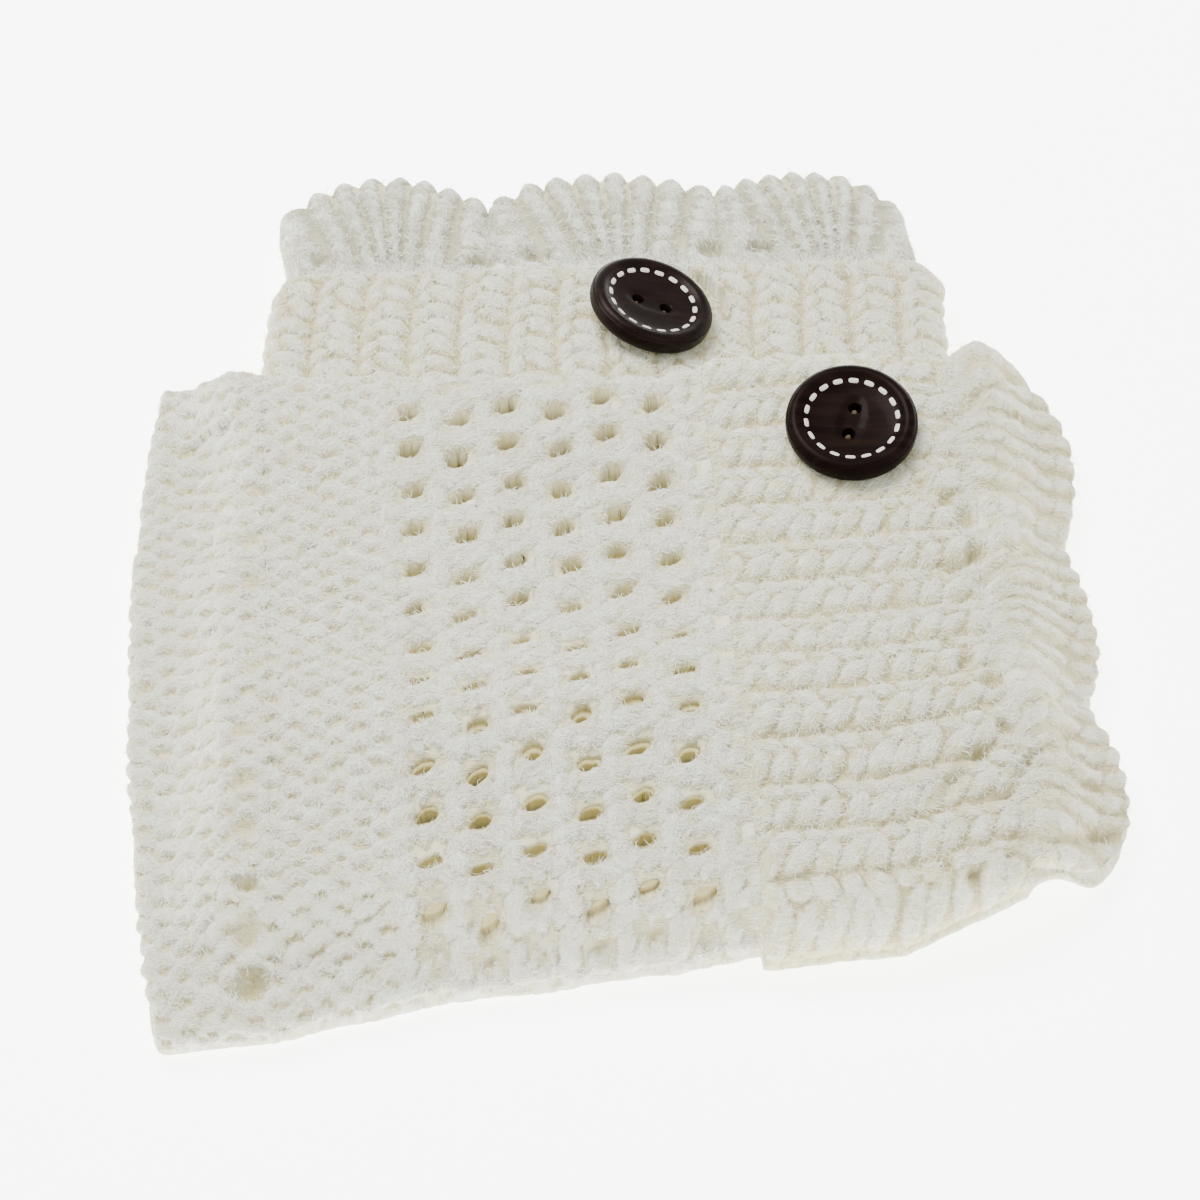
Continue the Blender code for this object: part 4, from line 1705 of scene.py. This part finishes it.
@dataclass
class WoodenButton:
    """A turned two-hole button with a raised rim and a ring of inlaid dashes."""

    cuff: Cuff
    segments: int = 128
    hole_spacing: float = 5.8
    hole: tuple = ((0, 9), (2.6, 9), (1.75, 3.2), (1.3, 2.7), (1.1, 2.1), (1.1, -3), (0, -3))
    recess: tuple = (4.93, 2.2, 0.3)  # half length, half width and depth
    sharp: float = 50.0
    dash_count: int = 18
    dash_radius: float = 8.65
    dash_length: float = 1.9
    dash_width: float = 0.88
    dash_rise: float = 0.16
    dash_reach: float = 10.5  # radius that the dashes stay inside
    yarn_radius: float = 0.78
    yarn_top: float = 1.7
    yarn_bow: float = 2.5  # of its run under the button
    profile: tuple = (
        (0.0, 2.95), (3.0, 2.97), (6.2, 3.1), (8.2, 3.4), (9.3, 3.85), (10.1, 4.32),
        (10.8, 4.46), (11.5, 4.25), (12.0, 3.82), (12.08, 3.62), (12.22, 3.5), (12.42, 3.2),
        (12.5, 2.3), (12.4, 1.3), (12.0, 0.6), (11.2, 0.12), (10.2, 0.0), (6.0, 0.0), (0.0, 0.0),
    )

    def outline(self, steps: int = 5) -> Array:
        """Points of a smooth curve through the profile.

        Each span is the cubic whose slopes at its ends are half the steps between the
        neighbours of those ends.

        Args:
            steps: Points of each span.

        Returns:
            Radius and height of each point.
        """
        rows = np.array(self.profile)
        framed = np.concatenate([rows[:1], rows, rows[-1:]])
        t = (np.arange(steps) / steps)[:, None]
        parts = []
        for a, b, c, d in zip(framed[:-3], framed[1:-2], framed[2:-1], framed[3:]):
            linear, square = (c - a) / 2, a - 2.5 * b + 2 * c - d / 2
            parts.append(b + t * (linear + t * (square + t * ((d - a) / 2 + 1.5 * (b - c)))))
        return np.concatenate(parts + [rows[-1:]])

    def to_row(self, points: Array) -> Array:
        """Points of the button's own frame, placed where it is sewn on."""
        place, turn = seat_frame(self.cuff)
        return points @ np.array(turn).T + np.array(place)

    def turned(self) -> Array:
        """Grid of the turned body, with a shallow oval recess round the holes.

        Returns:
            Points, a row for each point of the outline.
        """
        outline = self.outline()
        angle = np.linspace(0, 2 * np.pi, self.segments, endpoint=False)
        radius = np.maximum(outline[:, :1], 0.0)
        x, y = radius * np.cos(angle), radius * np.sin(angle)
        z = outline[:, 1:] + 0 * angle
        half_long, half_wide, depth = self.recess
        oval = np.hypot(x / half_long, y / half_wide)
        sunk = np.where(z > 2, depth * ramp((1.15 - oval) / 0.3), 0)
        return np.stack([x, y, z - sunk], axis=-1)

    def lathe(self, name: str, grid: Array) -> Object:
        """Closed object from a turned grid whose first and last rows are poles."""
        return new_object(name, self.to_row(pole_points(grid)), pole_faces(*grid.shape[:2]))

    def body(self) -> Object:
        """The turned body with its two holes drilled, flared at the top.

        Returns:
            The new object.
        """
        name = f"{self.cuff.name}_button_wood"
        made = self.lathe(name, self.turned())
        radius, height = np.hsplit(np.array(self.hole, float), 2)
        angle = np.linspace(0, 2 * np.pi, 32, endpoint=False)
        for side in (-1, 1):
            x = side * self.hole_spacing / 2 + radius * np.cos(angle)
            grid = np.stack([x, radius * np.sin(angle), height + 0 * angle], axis=-1)
            drill = self.lathe("drill", grid)
            cut = made.modifiers.new("Hole", "BOOLEAN")
            cut.operation = "DIFFERENCE"
            cut.object = drill
            cut_body = made.evaluated_get(bpy.context.evaluated_depsgraph_get())
            shape = bpy.data.meshes.new_from_object(cut_body)
            made.modifiers.clear()
            made.data = shape
            bpy.data.objects.remove(drill)
        made.data.name = name
        made.data.shade_smooth()
        made.data.set_sharp_from_angle(angle=math.radians(self.sharp))
        return made

    def dashes(self) -> Object:
        """The ring of inlaid dashes, all one mesh.

        Each is a pad on the button's face, whose outline is an ellipse made fuller by a
        power of its sine and cosine.

        Returns:
            The new object.
        """
        turn = np.linspace(0, 2 * np.pi, 20, endpoint=False)
        rise = np.linspace(-np.pi / 2, np.pi / 2, 9)
        ring = np.sign(np.cos(turn)) * np.abs(np.cos(turn)) ** 0.6
        wing = np.sign(np.sin(turn)) * np.abs(np.sin(turn)) ** 0.6
        level = np.cos(rise)[:, None] ** 0.5
        outline = self.outline()
        upper = outline[: np.argmax(outline[:, 0] > self.dash_reach)]
        points, faces = [], []
        for n in range(self.dash_count):
            theta = 2 * np.pi * (n + 0.5) / self.dash_count
            out = self.dash_radius + level * wing * self.dash_width / 2
            aside = level * ring * self.dash_length / 2
            x = out * np.cos(theta) - aside * np.sin(theta)
            y = out * np.sin(theta) + aside * np.cos(theta)
            face = np.interp(np.hypot(x, y), upper[:, 0], upper[:, 1])
            grid = np.stack([x, y, face + self.dash_rise * np.sin(rise)[:, None]], axis=-1)
            points.append(pole_points(grid))
            faces += [part + n * len(points[0]) for part in pole_faces(*grid.shape[:2])]
        placed = self.to_row(np.concatenate(points))
        return new_object(f"{self.cuff.name}_button_dashes", placed, faces)

    def yarn(self) -> Object:
        """The sewing yarn: a tube down one hole, under the button and up the other.

        Its path is half a circle whose cosine is made fuller by a power, and its section
        swells and sinks by a wave that turns along the path, as a plied yarn's does.

        Returns:
            The new object.
        """
        half = self.hole_spacing / 2
        t = np.linspace(0, np.pi, 25)
        x = -half * np.sign(np.cos(t)) * np.abs(np.cos(t)) ** 0.35
        path = np.stack([x, 0 * t, self.yarn_top - self.yarn_bow * np.sin(t)], axis=-1)
        along = np.gradient(path, axis=0)
        along /= np.linalg.norm(along, axis=1, keepdims=True)
        side = np.array([0.0, 1.0, 0.0])
        up = np.cross(along, side)
        angle = np.linspace(0, 2 * np.pi, 14, endpoint=False)[None, :, None]
        t = t[:, None, None]
        taper = np.minimum(1.0, 1.6 * np.sqrt(np.sin(np.clip(t, 0.02, np.pi - 0.02)) + 0.05))
        radius = self.yarn_radius * taper * (1 + 0.08 * np.cos(3 * angle + 4 * t))
        grid = path[:, None] + radius * (np.cos(angle) * side + np.sin(angle) * up[:, None])
        ends = np.repeat(path[[0, -1]][:, None], grid.shape[1], axis=1)
        grid = np.concatenate([ends[:1], grid, ends[1:]])
        return self.lathe(f"{self.cuff.name}_button_yarn", grid[::-1])


class NodeBench:
    """Short way to add and link nodes in one tree."""

    def __init__(self, tree: bpy.types.NodeTree) -> None:
        """Keep the tree that the nodes go into."""
        self.tree = tree

    def give(self, node: bpy.types.Node, inputs: dict) -> None:
        """Give a node's inputs their values or links.

        Args:
            node: The node.
            inputs: Values or output sockets, by input name with _ for a space, or by _ and
                the input's number.
        """
        for key, value in inputs.items():
            numbered = key[1:].isdigit()
            socket = node.inputs[int(key[1:]) if numbered else key.replace("_", " ")]
            if isinstance(value, Socket):
                self.tree.links.new(value, socket)
            else:
                socket.default_value = value

    def add(self, kind: str, settings: dict | None = None, **inputs: Given) -> bpy.types.Node:
        """Node of a kind.

        Args:
            kind: Blender's name of the node.
            settings: Attributes of the node.
            **inputs: What its inputs are given.

        Returns:
            The node.
        """
        node = self.tree.nodes.new(kind)
        for key, value in (settings or {}).items():
            setattr(node, key, value)
        self.give(node, inputs)
        return node

    def mix(self, factor: Given, first: Given, second: Given) -> Socket:
        """Colour mixed from the first to the second by a factor."""
        node = self.add("ShaderNodeMix", {"data_type": "RGBA"}, _0=factor, _6=first, _7=second)
        return node.outputs[2]

    def math(self, operation: str, first: Given, second: Given = 0.0, clamp: bool = False) -> Socket:
        """Result of one arithmetic step."""
        settings = {"operation": operation, "use_clamp": clamp}
        return self.add("ShaderNodeMath", settings, _0=first, _1=second).outputs[0]

    def ranged(self, value: Given, settings: dict | None = None, **ends: float) -> Socket:
        """Value carried from one range to another."""
        return self.add("ShaderNodeMapRange", settings, Value=value, **ends).outputs[0]

    def noise(self, place: Given, **inputs: Given) -> Socket:
        """Noise texture at a place."""
        return self.add("ShaderNodeTexNoise", Vector=place, **inputs).outputs[0]

    def mapped(self, place: Given, **inputs: Given) -> Socket:
        """Place, turned and scaled."""
        return self.add("ShaderNodeMapping", Vector=place, **inputs).outputs[0]


class MaterialBench(NodeBench):
    """Bench of a new material, with its Principled shader."""

    def __init__(self, name: str) -> None:
        """Make the material.

        Args:
            name: Its name.
        """
        self.made = bpy.data.materials.new(name)
        self.made.use_nodes = True
        super().__init__(self.made.node_tree)

    def finish(self, **inputs: Given) -> Material:
        """The material, its shader's inputs given their values or links."""
        self.give(self.tree.nodes["Principled BSDF"], inputs)
        return self.made


def opaque(colour: tuple) -> tuple:
    """Colour with its alpha."""
    return (*colour, 1.0)


def yarn_group() -> bpy.types.ShaderNodeTree:
    """Node group of the yarn: its colour, a fine height and a faint painted glow in the eyelets.

    Noise stretched along the strands of the loops, and noise stretched along the knit, give
    the fibres: the higher of the two is taken. The colour goes from light to cream with
    the depth in a pit, a wide noise and the fibres' hollows, and on to the deep colour in
    the pits. The cream of the pits and hollows and the deep colour are painted shade, and
    the wide noise is a real uneven tone. The glow of the eyelets' insides is painted light:
    an emission that stands for light that comes through the yarn.

    Returns:
        The group, with inputs Vector, Ply, Pit, Light, Cream, Deep and Fibre Scale, and
        outputs Color, Glow and Height.
    """
    group = bpy.data.node_groups.new("yarn_fibres", "ShaderNodeTree")
    sockets = (
        ("INPUT", "Vector", ("Vector", "Ply")),
        ("INPUT", "Float", ("Pit",)),
        ("INPUT", "Color", ("Light", "Cream", "Deep")),
        ("INPUT", "Float", ("Fibre Scale",)),
        ("OUTPUT", "Color", ("Color", "Glow")),
        ("OUTPUT", "Float", ("Height",)),
    )
    for way, kind, names in sockets:
        for name in names:
            group.interface.new_socket(name, in_out=way, socket_type=f"NodeSocket{kind}")
    bench = NodeBench(group)
    given = bench.add("NodeGroupInput").outputs
    knit, pit = given["Vector"], given["Pit"]
    strand = bench.mapped(given["Ply"], Rotation=(0, 0, 0.35), Scale=(4.0, 26.0, 1.0))
    drift = bench.mapped(knit, Scale=(8.0, 8.0, 1.0))
    place = bench.add("ShaderNodeVectorMath", {"operation": "ADD"}, _0=strand, _1=drift).outputs[0]
    plied = bench.noise(place, Scale=1.0, Detail=2.0, Distortion=0.3)
    lean = bench.mapped(knit, Rotation=(0, 0, 0.7), Scale=(1.0, 4.5, 1.0))
    loose = bench.noise(lean, Scale=given["Fibre Scale"], Detail=3.0, Distortion=0.8)
    fibres = bench.math("MAXIMUM", plied, loose)
    wide = bench.noise(knit, Scale=26.0, Detail=2.0)
    # painted shade: the hollows between the fibres turn cream
    hollow_shade = bench.ranged(fibres, From_Min=0.45, From_Max=0.66, To_Min=0.55, To_Max=-0.2)
    patch = bench.ranged(wide, From_Min=0.35, From_Max=0.68, To_Min=-0.2, To_Max=0.75)
    # cream share: painted shade from the pit, plus the real uneven tone of the wide noise
    creamy = bench.math("ADD", bench.math("MULTIPLY", pit, 1.5), patch)
    creamy = bench.math("ADD", creamy, hollow_shade, clamp=True)
    uneven = bench.math("ADD", pit, bench.math("MULTIPLY", hollow_shade, 0.3))
    smooth = {"interpolation_type": "SMOOTHSTEP"}
    # painted shade: the deep colour in the pits
    deep = bench.ranged(uneven, smooth, From_Min=0.4, From_Max=1.0)
    # painted light: the deepest pits, on the eyelets' insides, glow in the deep colour
    inside = bench.ranged(pit, From_Min=0.86, From_Max=1.0)
    tone = bench.mix(creamy, given["Light"], given["Cream"])
    bench.add(
        "NodeGroupOutput",
        Color=bench.mix(deep, tone, given["Deep"]),
        Glow=bench.mix(inside, opaque((0.0, 0.0, 0.0)), given["Deep"]),
        Height=fibres,
    )
    return group


@dataclass(frozen=True)
class KnitFinish:
    """Ivory yarn: its colours with their painted shade, its painted glow, and how it takes the light."""

    name: str
    light: tuple = (0.755, 0.76, 0.665)
    # cream: painted shade in the hollows, and the tone of the real uneven patches
    cream: tuple = (0.655, 0.63, 0.43)
    # deep: painted shade in the pits, and the colour of the painted glow
    deep: tuple = (0.64, 0.575, 0.31)
    fibre_scale: float = 70.0
    bump: float = 1.0
    bump_height: float = 0.0008  # metres
    # glow: strength of the painted light in the eyelets' insides
    glow: float = 1.3
    roughness: float = 0.95
    specular: float = 0.2
    sheen: float = 0.2
    sheen_roughness: float = 0.6

    def material(self, group: bpy.types.ShaderNodeTree) -> Material:
        """Material whose colour with its painted shade, bump and painted glow come from the yarn group.

        Args:
            group: The yarn group.

        Returns:
            The material, which reads the piece's own texture coordinates and its pits, for painted
            shade.
        """
        bench = MaterialBench(self.name)
        knit, ply = (bench.add("ShaderNodeUVMap", {"uv_map": key}).outputs[0] for key in ("knit", "ply"))
        yarn = bench.add(
            "ShaderNodeGroup",
            {"node_tree": group},
            Vector=knit,
            Ply=ply,
            Pit=bench.add("ShaderNodeAttribute", {"attribute_name": "pit"}).outputs["Fac"],
            Light=opaque(self.light),
            Cream=opaque(self.cream),
            Deep=opaque(self.deep),
            Fibre_Scale=self.fibre_scale,
        ).outputs
        relief = {"Strength": self.bump, "Distance": self.bump_height, "Height": yarn["Height"]}
        return bench.finish(
            Base_Color=yarn["Color"],
            Emission_Color=yarn["Glow"],
            Emission_Strength=self.glow,
            Normal=bench.add("ShaderNodeBump", **relief).outputs[0],
            Roughness=self.roughness,
            Specular_IOR_Level=self.specular,
            Sheen_Weight=self.sheen,
            Sheen_Roughness=self.sheen_roughness,
        )


@dataclass(frozen=True)
class WoodFinish:
    """Dark stained wood under a clear polish."""

    name: str
    dark: tuple = (0.0035, 0.0017, 0.0014)
    warm: tuple = (0.0085, 0.0042, 0.003)
    tint: tuple = (1.0, 0.78, 0.7)
    stretch: tuple = (60.0, 620.0, 320.0)
    turn: float = 0.4
    roughness: float = 0.36
    bump: float = 0.12
    bump_height: float = 0.0002  # metres
    specular: float = 0.07
    coat: float = 0.02
    coat_roughness: float = 0.12

    def material(self) -> Material:
        """Material of long grain: noise stretched one way, in colour, roughness and bump.

        Returns:
            The material, which reads Object coordinates.
        """
        bench = MaterialBench(self.name)
        place = bench.add("ShaderNodeTexCoord").outputs["Object"]
        lean = bench.mapped(place, Rotation=(0, 0, self.turn), Scale=self.stretch)
        grain = bench.noise(lean, Scale=1.0, Detail=4.0, Distortion=0.4)
        tone = bench.ranged(grain, From_Min=0.38, From_Max=0.72)
        low, high = self.roughness - 0.06, self.roughness + 0.12
        relief = {"Strength": self.bump, "Distance": self.bump_height, "Height": grain}
        return bench.finish(
            Base_Color=bench.mix(tone, opaque(self.dark), opaque(self.warm)),
            Roughness=bench.ranged(grain, To_Min=low, To_Max=high),
            Normal=bench.add("ShaderNodeBump", **relief).outputs[0],
            Specular_IOR_Level=self.specular,
            Specular_Tint=opaque(self.tint),
            Coat_Weight=self.coat,
            Coat_Roughness=self.coat_roughness,
        )


@dataclass(frozen=True)
class SpeckFinish:
    """A small detail, or a single fibre: two close tones, drifting by place."""

    name: str
    light: tuple
    shade: tuple
    roughness: float
    scale: float = 900.0
    detail: float = 2.0
    specular: float = 0.5

    def material(self) -> Material:
        """Material whose colour drifts between its two tones.

        Returns:
            The material, which reads Object coordinates.
        """
        bench = MaterialBench(self.name)
        place = bench.add("ShaderNodeTexCoord").outputs["Object"]
        drift = bench.noise(place, Scale=self.scale, Detail=self.detail)
        return bench.finish(
            Base_Color=bench.mix(drift, opaque(self.light), opaque(self.shade)),
            Roughness=self.roughness,
            Specular_IOR_Level=self.specular,
        )


@dataclass
class LegWarmer:
    """One dressed leg warmer: its knit sections, its fuzz and its button."""

    cuff: Cuff
    spacing: float
    hidden_spacing: float
    fibres: int
    knit: Material
    rib: Material
    fan: Material
    fibre: Material
    wood: Material
    inlay: Material
    thread: Material
    rests_on: tuple = ("floor",)
    lower_spacing: float = 0.95  # of the leg's lower wall
    hem_roll: float = 3.5  # of the hem's cut, rolled in at its free edge
    fan_length: float = 25.0  # of the edging's cut
    leg_middle: float = 60.0  # where the width of the leg's cut is taken
    wrap: float = 10.0  # by which the upper wall's cut is wider and the lower one's narrower

    def dress(
        self, obj: Object, material: Material, slot: str, *nodes: str
    ) -> Object:
        """Give a piece its material and body.

        Args:
            obj: The piece.
            material: Its material.
            slot: Not used.
            *nodes: The solids that it stands for.

        Returns:
            The piece.
        """
        obj.data.materials.clear()
        obj.data.materials.append(material)
        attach(obj, "root")
        if nodes:
            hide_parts(*nodes)
        Log.info("%s: %d faces", obj.name, len(obj.data.polygons))
        return obj

    def tube(self, section: TubeSection, roots: Roots | None, slot: str) -> None:
        """Build one ring of the tube.

        Args:
            section: The ring.
            roots: Where fuzz roots are noted.
            slot: Name of the material slot; rib_knit picks the ribbed finish.
        """
        name = f"{self.cuff.name}_{section.part}"
        # the back fans take the fan finish, whose pit tones are a darker painted shade
        ribbed = self.rib if self.cuff is FRONT or section.part == "band" else self.fan
        material = ribbed if slot == "rib_knit" else self.knit
        made = self.dress(section.build(roots), material, slot, f"{name}_upper", f"{name}_lower")
        right, left = self.cuff.edges(np.array(section.start))

    def leg(self, side: Side, roots: Roots | None) -> None:
        """Build one wall of the leg.

        Args:
            side: The wall.
            roots: Where fuzz roots are noted.
        """
        front, upper = self.cuff is FRONT, side is Side.UPPER
        shown_spacing = self.spacing if front else self.hidden_spacing
        wall = LegWall(
            self.cuff,
            side,
            shown_spacing if upper else self.lower_spacing,
            eyelets=front or not upper,
            first_row=0 if front and upper else 1,
        )
        name = f"{self.cuff.name}_leg_{side.value}"
        made = self.dress(wall.build(roots), self.knit, "knit", name)
        right, left = self.cuff.edges(np.array(self.leg_middle))

    def build(self) -> None:
        """Build every piece of the leg warmer."""
        front = self.cuff is FRONT
        roots = Roots()
        spacing = self.spacing if front else self.hidden_spacing
        hem = Hem(self.cuff, spacing, self.cuff.hem_start, HEM_END - JOIN)
        band = Band(self.cuff, self.spacing, LEG_END + JOIN, BAND_END - JOIN)
        fans = SoftEdging if front else Edging
        edging = fans(self.cuff, self.spacing, BAND_END + JOIN, EDGING_END)
        shown_roots = roots if front else None
        self.tube(hem, shown_roots, "knit")
        self.leg(Side.UPPER, shown_roots)
        self.leg(Side.LOWER, None)
        self.tube(band, roots, "rib_knit")
        self.tube(edging, roots, "rib_knit")
        fuzz = Fuzz(f"{self.cuff.name}_fuzz", self.fibres, seed=7 if front else 5)
        self.dress(fuzz.build(roots), self.fibre, "knit")
        button = WoodenButton(self.cuff)
        self.dress(button.body(), self.wood, "wood", f"{self.cuff.name}_button")
        self.dress(button.dashes(), self.inlay, "wood")
        self.dress(button.yarn(), self.thread, "wood")


@dataclass(frozen=True)
class Studio:
    """Pale floor, soft light and the camera at the photograph's angle."""

    camera_place: tuple = (-3.8, -459.34, 544.40)
    elevation: float = 50.0
    lens: float = 112.82
    sensor: float = 36.0
    floor_tone: tuple = (0.93, 0.93, 0.925)
    floor_roughness: float = 0.9
    floor_glow: float = 5.5
    floor_half: float = 3000.0
    floor_drop: float = 0.05  # below the pair
    sky: float = 1.1
    white: tuple = (1.0, 1.0, 1.0)

    def floor(self) -> None:
        """A wide flat floor just under the pair, bright as a lit backdrop."""
        corners = np.array([[-1, -1], [1, -1], [1, 1], [-1, 1]]) * self.floor_half
        points = np.pad(corners, ((0, 0), (0, 1)), constant_values=-self.floor_drop)
        made = new_object("floor", points, [np.array([[0, 1, 2, 3]])])
        material = MaterialBench("pale_floor").finish(
            Base_Color=opaque(self.floor_tone),
            Roughness=self.floor_roughness,
            Emission_Color=opaque(self.white),
            Emission_Strength=self.floor_glow,
        )
        made.data.materials.append(material)

    def light(self, name: str, place: tuple, size: float, power: float) -> None:
        """Soft square light that points at the pair.

        Args:
            name: Name of the light.
            place: Where it hangs, in metres.
            size: Length of its sides, in metres.
            power: Its power in watts.
        """
        lamp = bpy.data.lights.new(name, "AREA")
        lamp.size, lamp.energy = size, power
        made = bpy.data.objects.new(name, lamp)
        made.location = place
        made.rotation_euler = (-Vector(place)).to_track_quat("-Z", "Y").to_euler()
        bpy.context.scene.collection.objects.link(made)

    def camera(self) -> None:
        """The camera that sees the pair as the photograph does."""
        lens = bpy.data.cameras.new("camera")
        lens.lens, lens.sensor_width = self.lens, self.sensor
        made = bpy.data.objects.new("camera", lens)
        made.location = Vector(self.camera_place) * MM
        made.rotation_euler = (math.radians(90 - self.elevation), 0.0, 0.0)
        bpy.context.scene.collection.objects.link(made)
        bpy.context.scene.camera = made

    def build(self) -> None:
        """Build the whole set."""
        self.floor()
        world = bpy.data.worlds.new("soft_white")
        world.use_nodes = True
        sky = world.node_tree.nodes["Background"]
        NodeBench(world.node_tree).give(sky, {"Color": opaque(self.white), "Strength": self.sky})
        bpy.context.scene.world = world
        self.light("key", (-0.35, 0.35, 1.0), 0.6, 25.0)
        self.light("fill", (0.7, -0.6, 0.8), 0.9, 4.0)
        self.camera()


def main() -> None:
    """Build both leg warmers and the set."""
    logging.basicConfig(level=logging.INFO, format="%(message)s")
    group = yarn_group()
    finishes = {
        "knit": KnitFinish("ivory_knit").material(group),
        # painted shade: the rib finish has darker, yellower pit tones, and the fan finish darker and
        # greyer ones for the back fans' grooves
        "rib": KnitFinish(
            "ivory_rib_knit",
            light=(0.76, 0.765, 0.635),
            cream=(0.63, 0.595, 0.36),
            deep=(0.52, 0.46, 0.25),
            fibre_scale=62.0,
        ).material(group),
        "fan": KnitFinish(
            "ivory_fan_knit",
            light=(0.75, 0.755, 0.665),
            cream=(0.46, 0.445, 0.31),
            deep=(0.42, 0.39, 0.26),
            fibre_scale=62.0,
        ).material(group),
        "fibre": SpeckFinish(
            "ivory_fibre",
            light=(0.80, 0.80, 0.72),
            shade=(0.72, 0.71, 0.60),
            roughness=0.8,
            scale=180.0,
            detail=1.0,
            specular=0.2,
        ).material(),
        "inlay": SpeckFinish("pale_inlay", (0.62, 0.57, 0.52), (0.50, 0.45, 0.41), 0.45).material(),
        "thread": SpeckFinish("tan_yarn", (0.10, 0.062, 0.03), (0.05, 0.03, 0.015), 0.9).material(),
    }
    back_wood = WoodFinish("dark_polished_wood_back").material()
    front_wood = WoodFinish("dark_polished_wood_front", turn=1.5, specular=0.03, coat=0.01).material()
    LegWarmer(BACK, 0.55, 1.3, 22000, wood=back_wood, **finishes).build()
    on_back = ("floor", "back_leg_upper_knit")
    LegWarmer(FRONT, 0.55, 1.3, 54000, wood=front_wood, rests_on=on_back, **finishes).build()
    Studio().build()


if __name__ == "__main__":
    main()
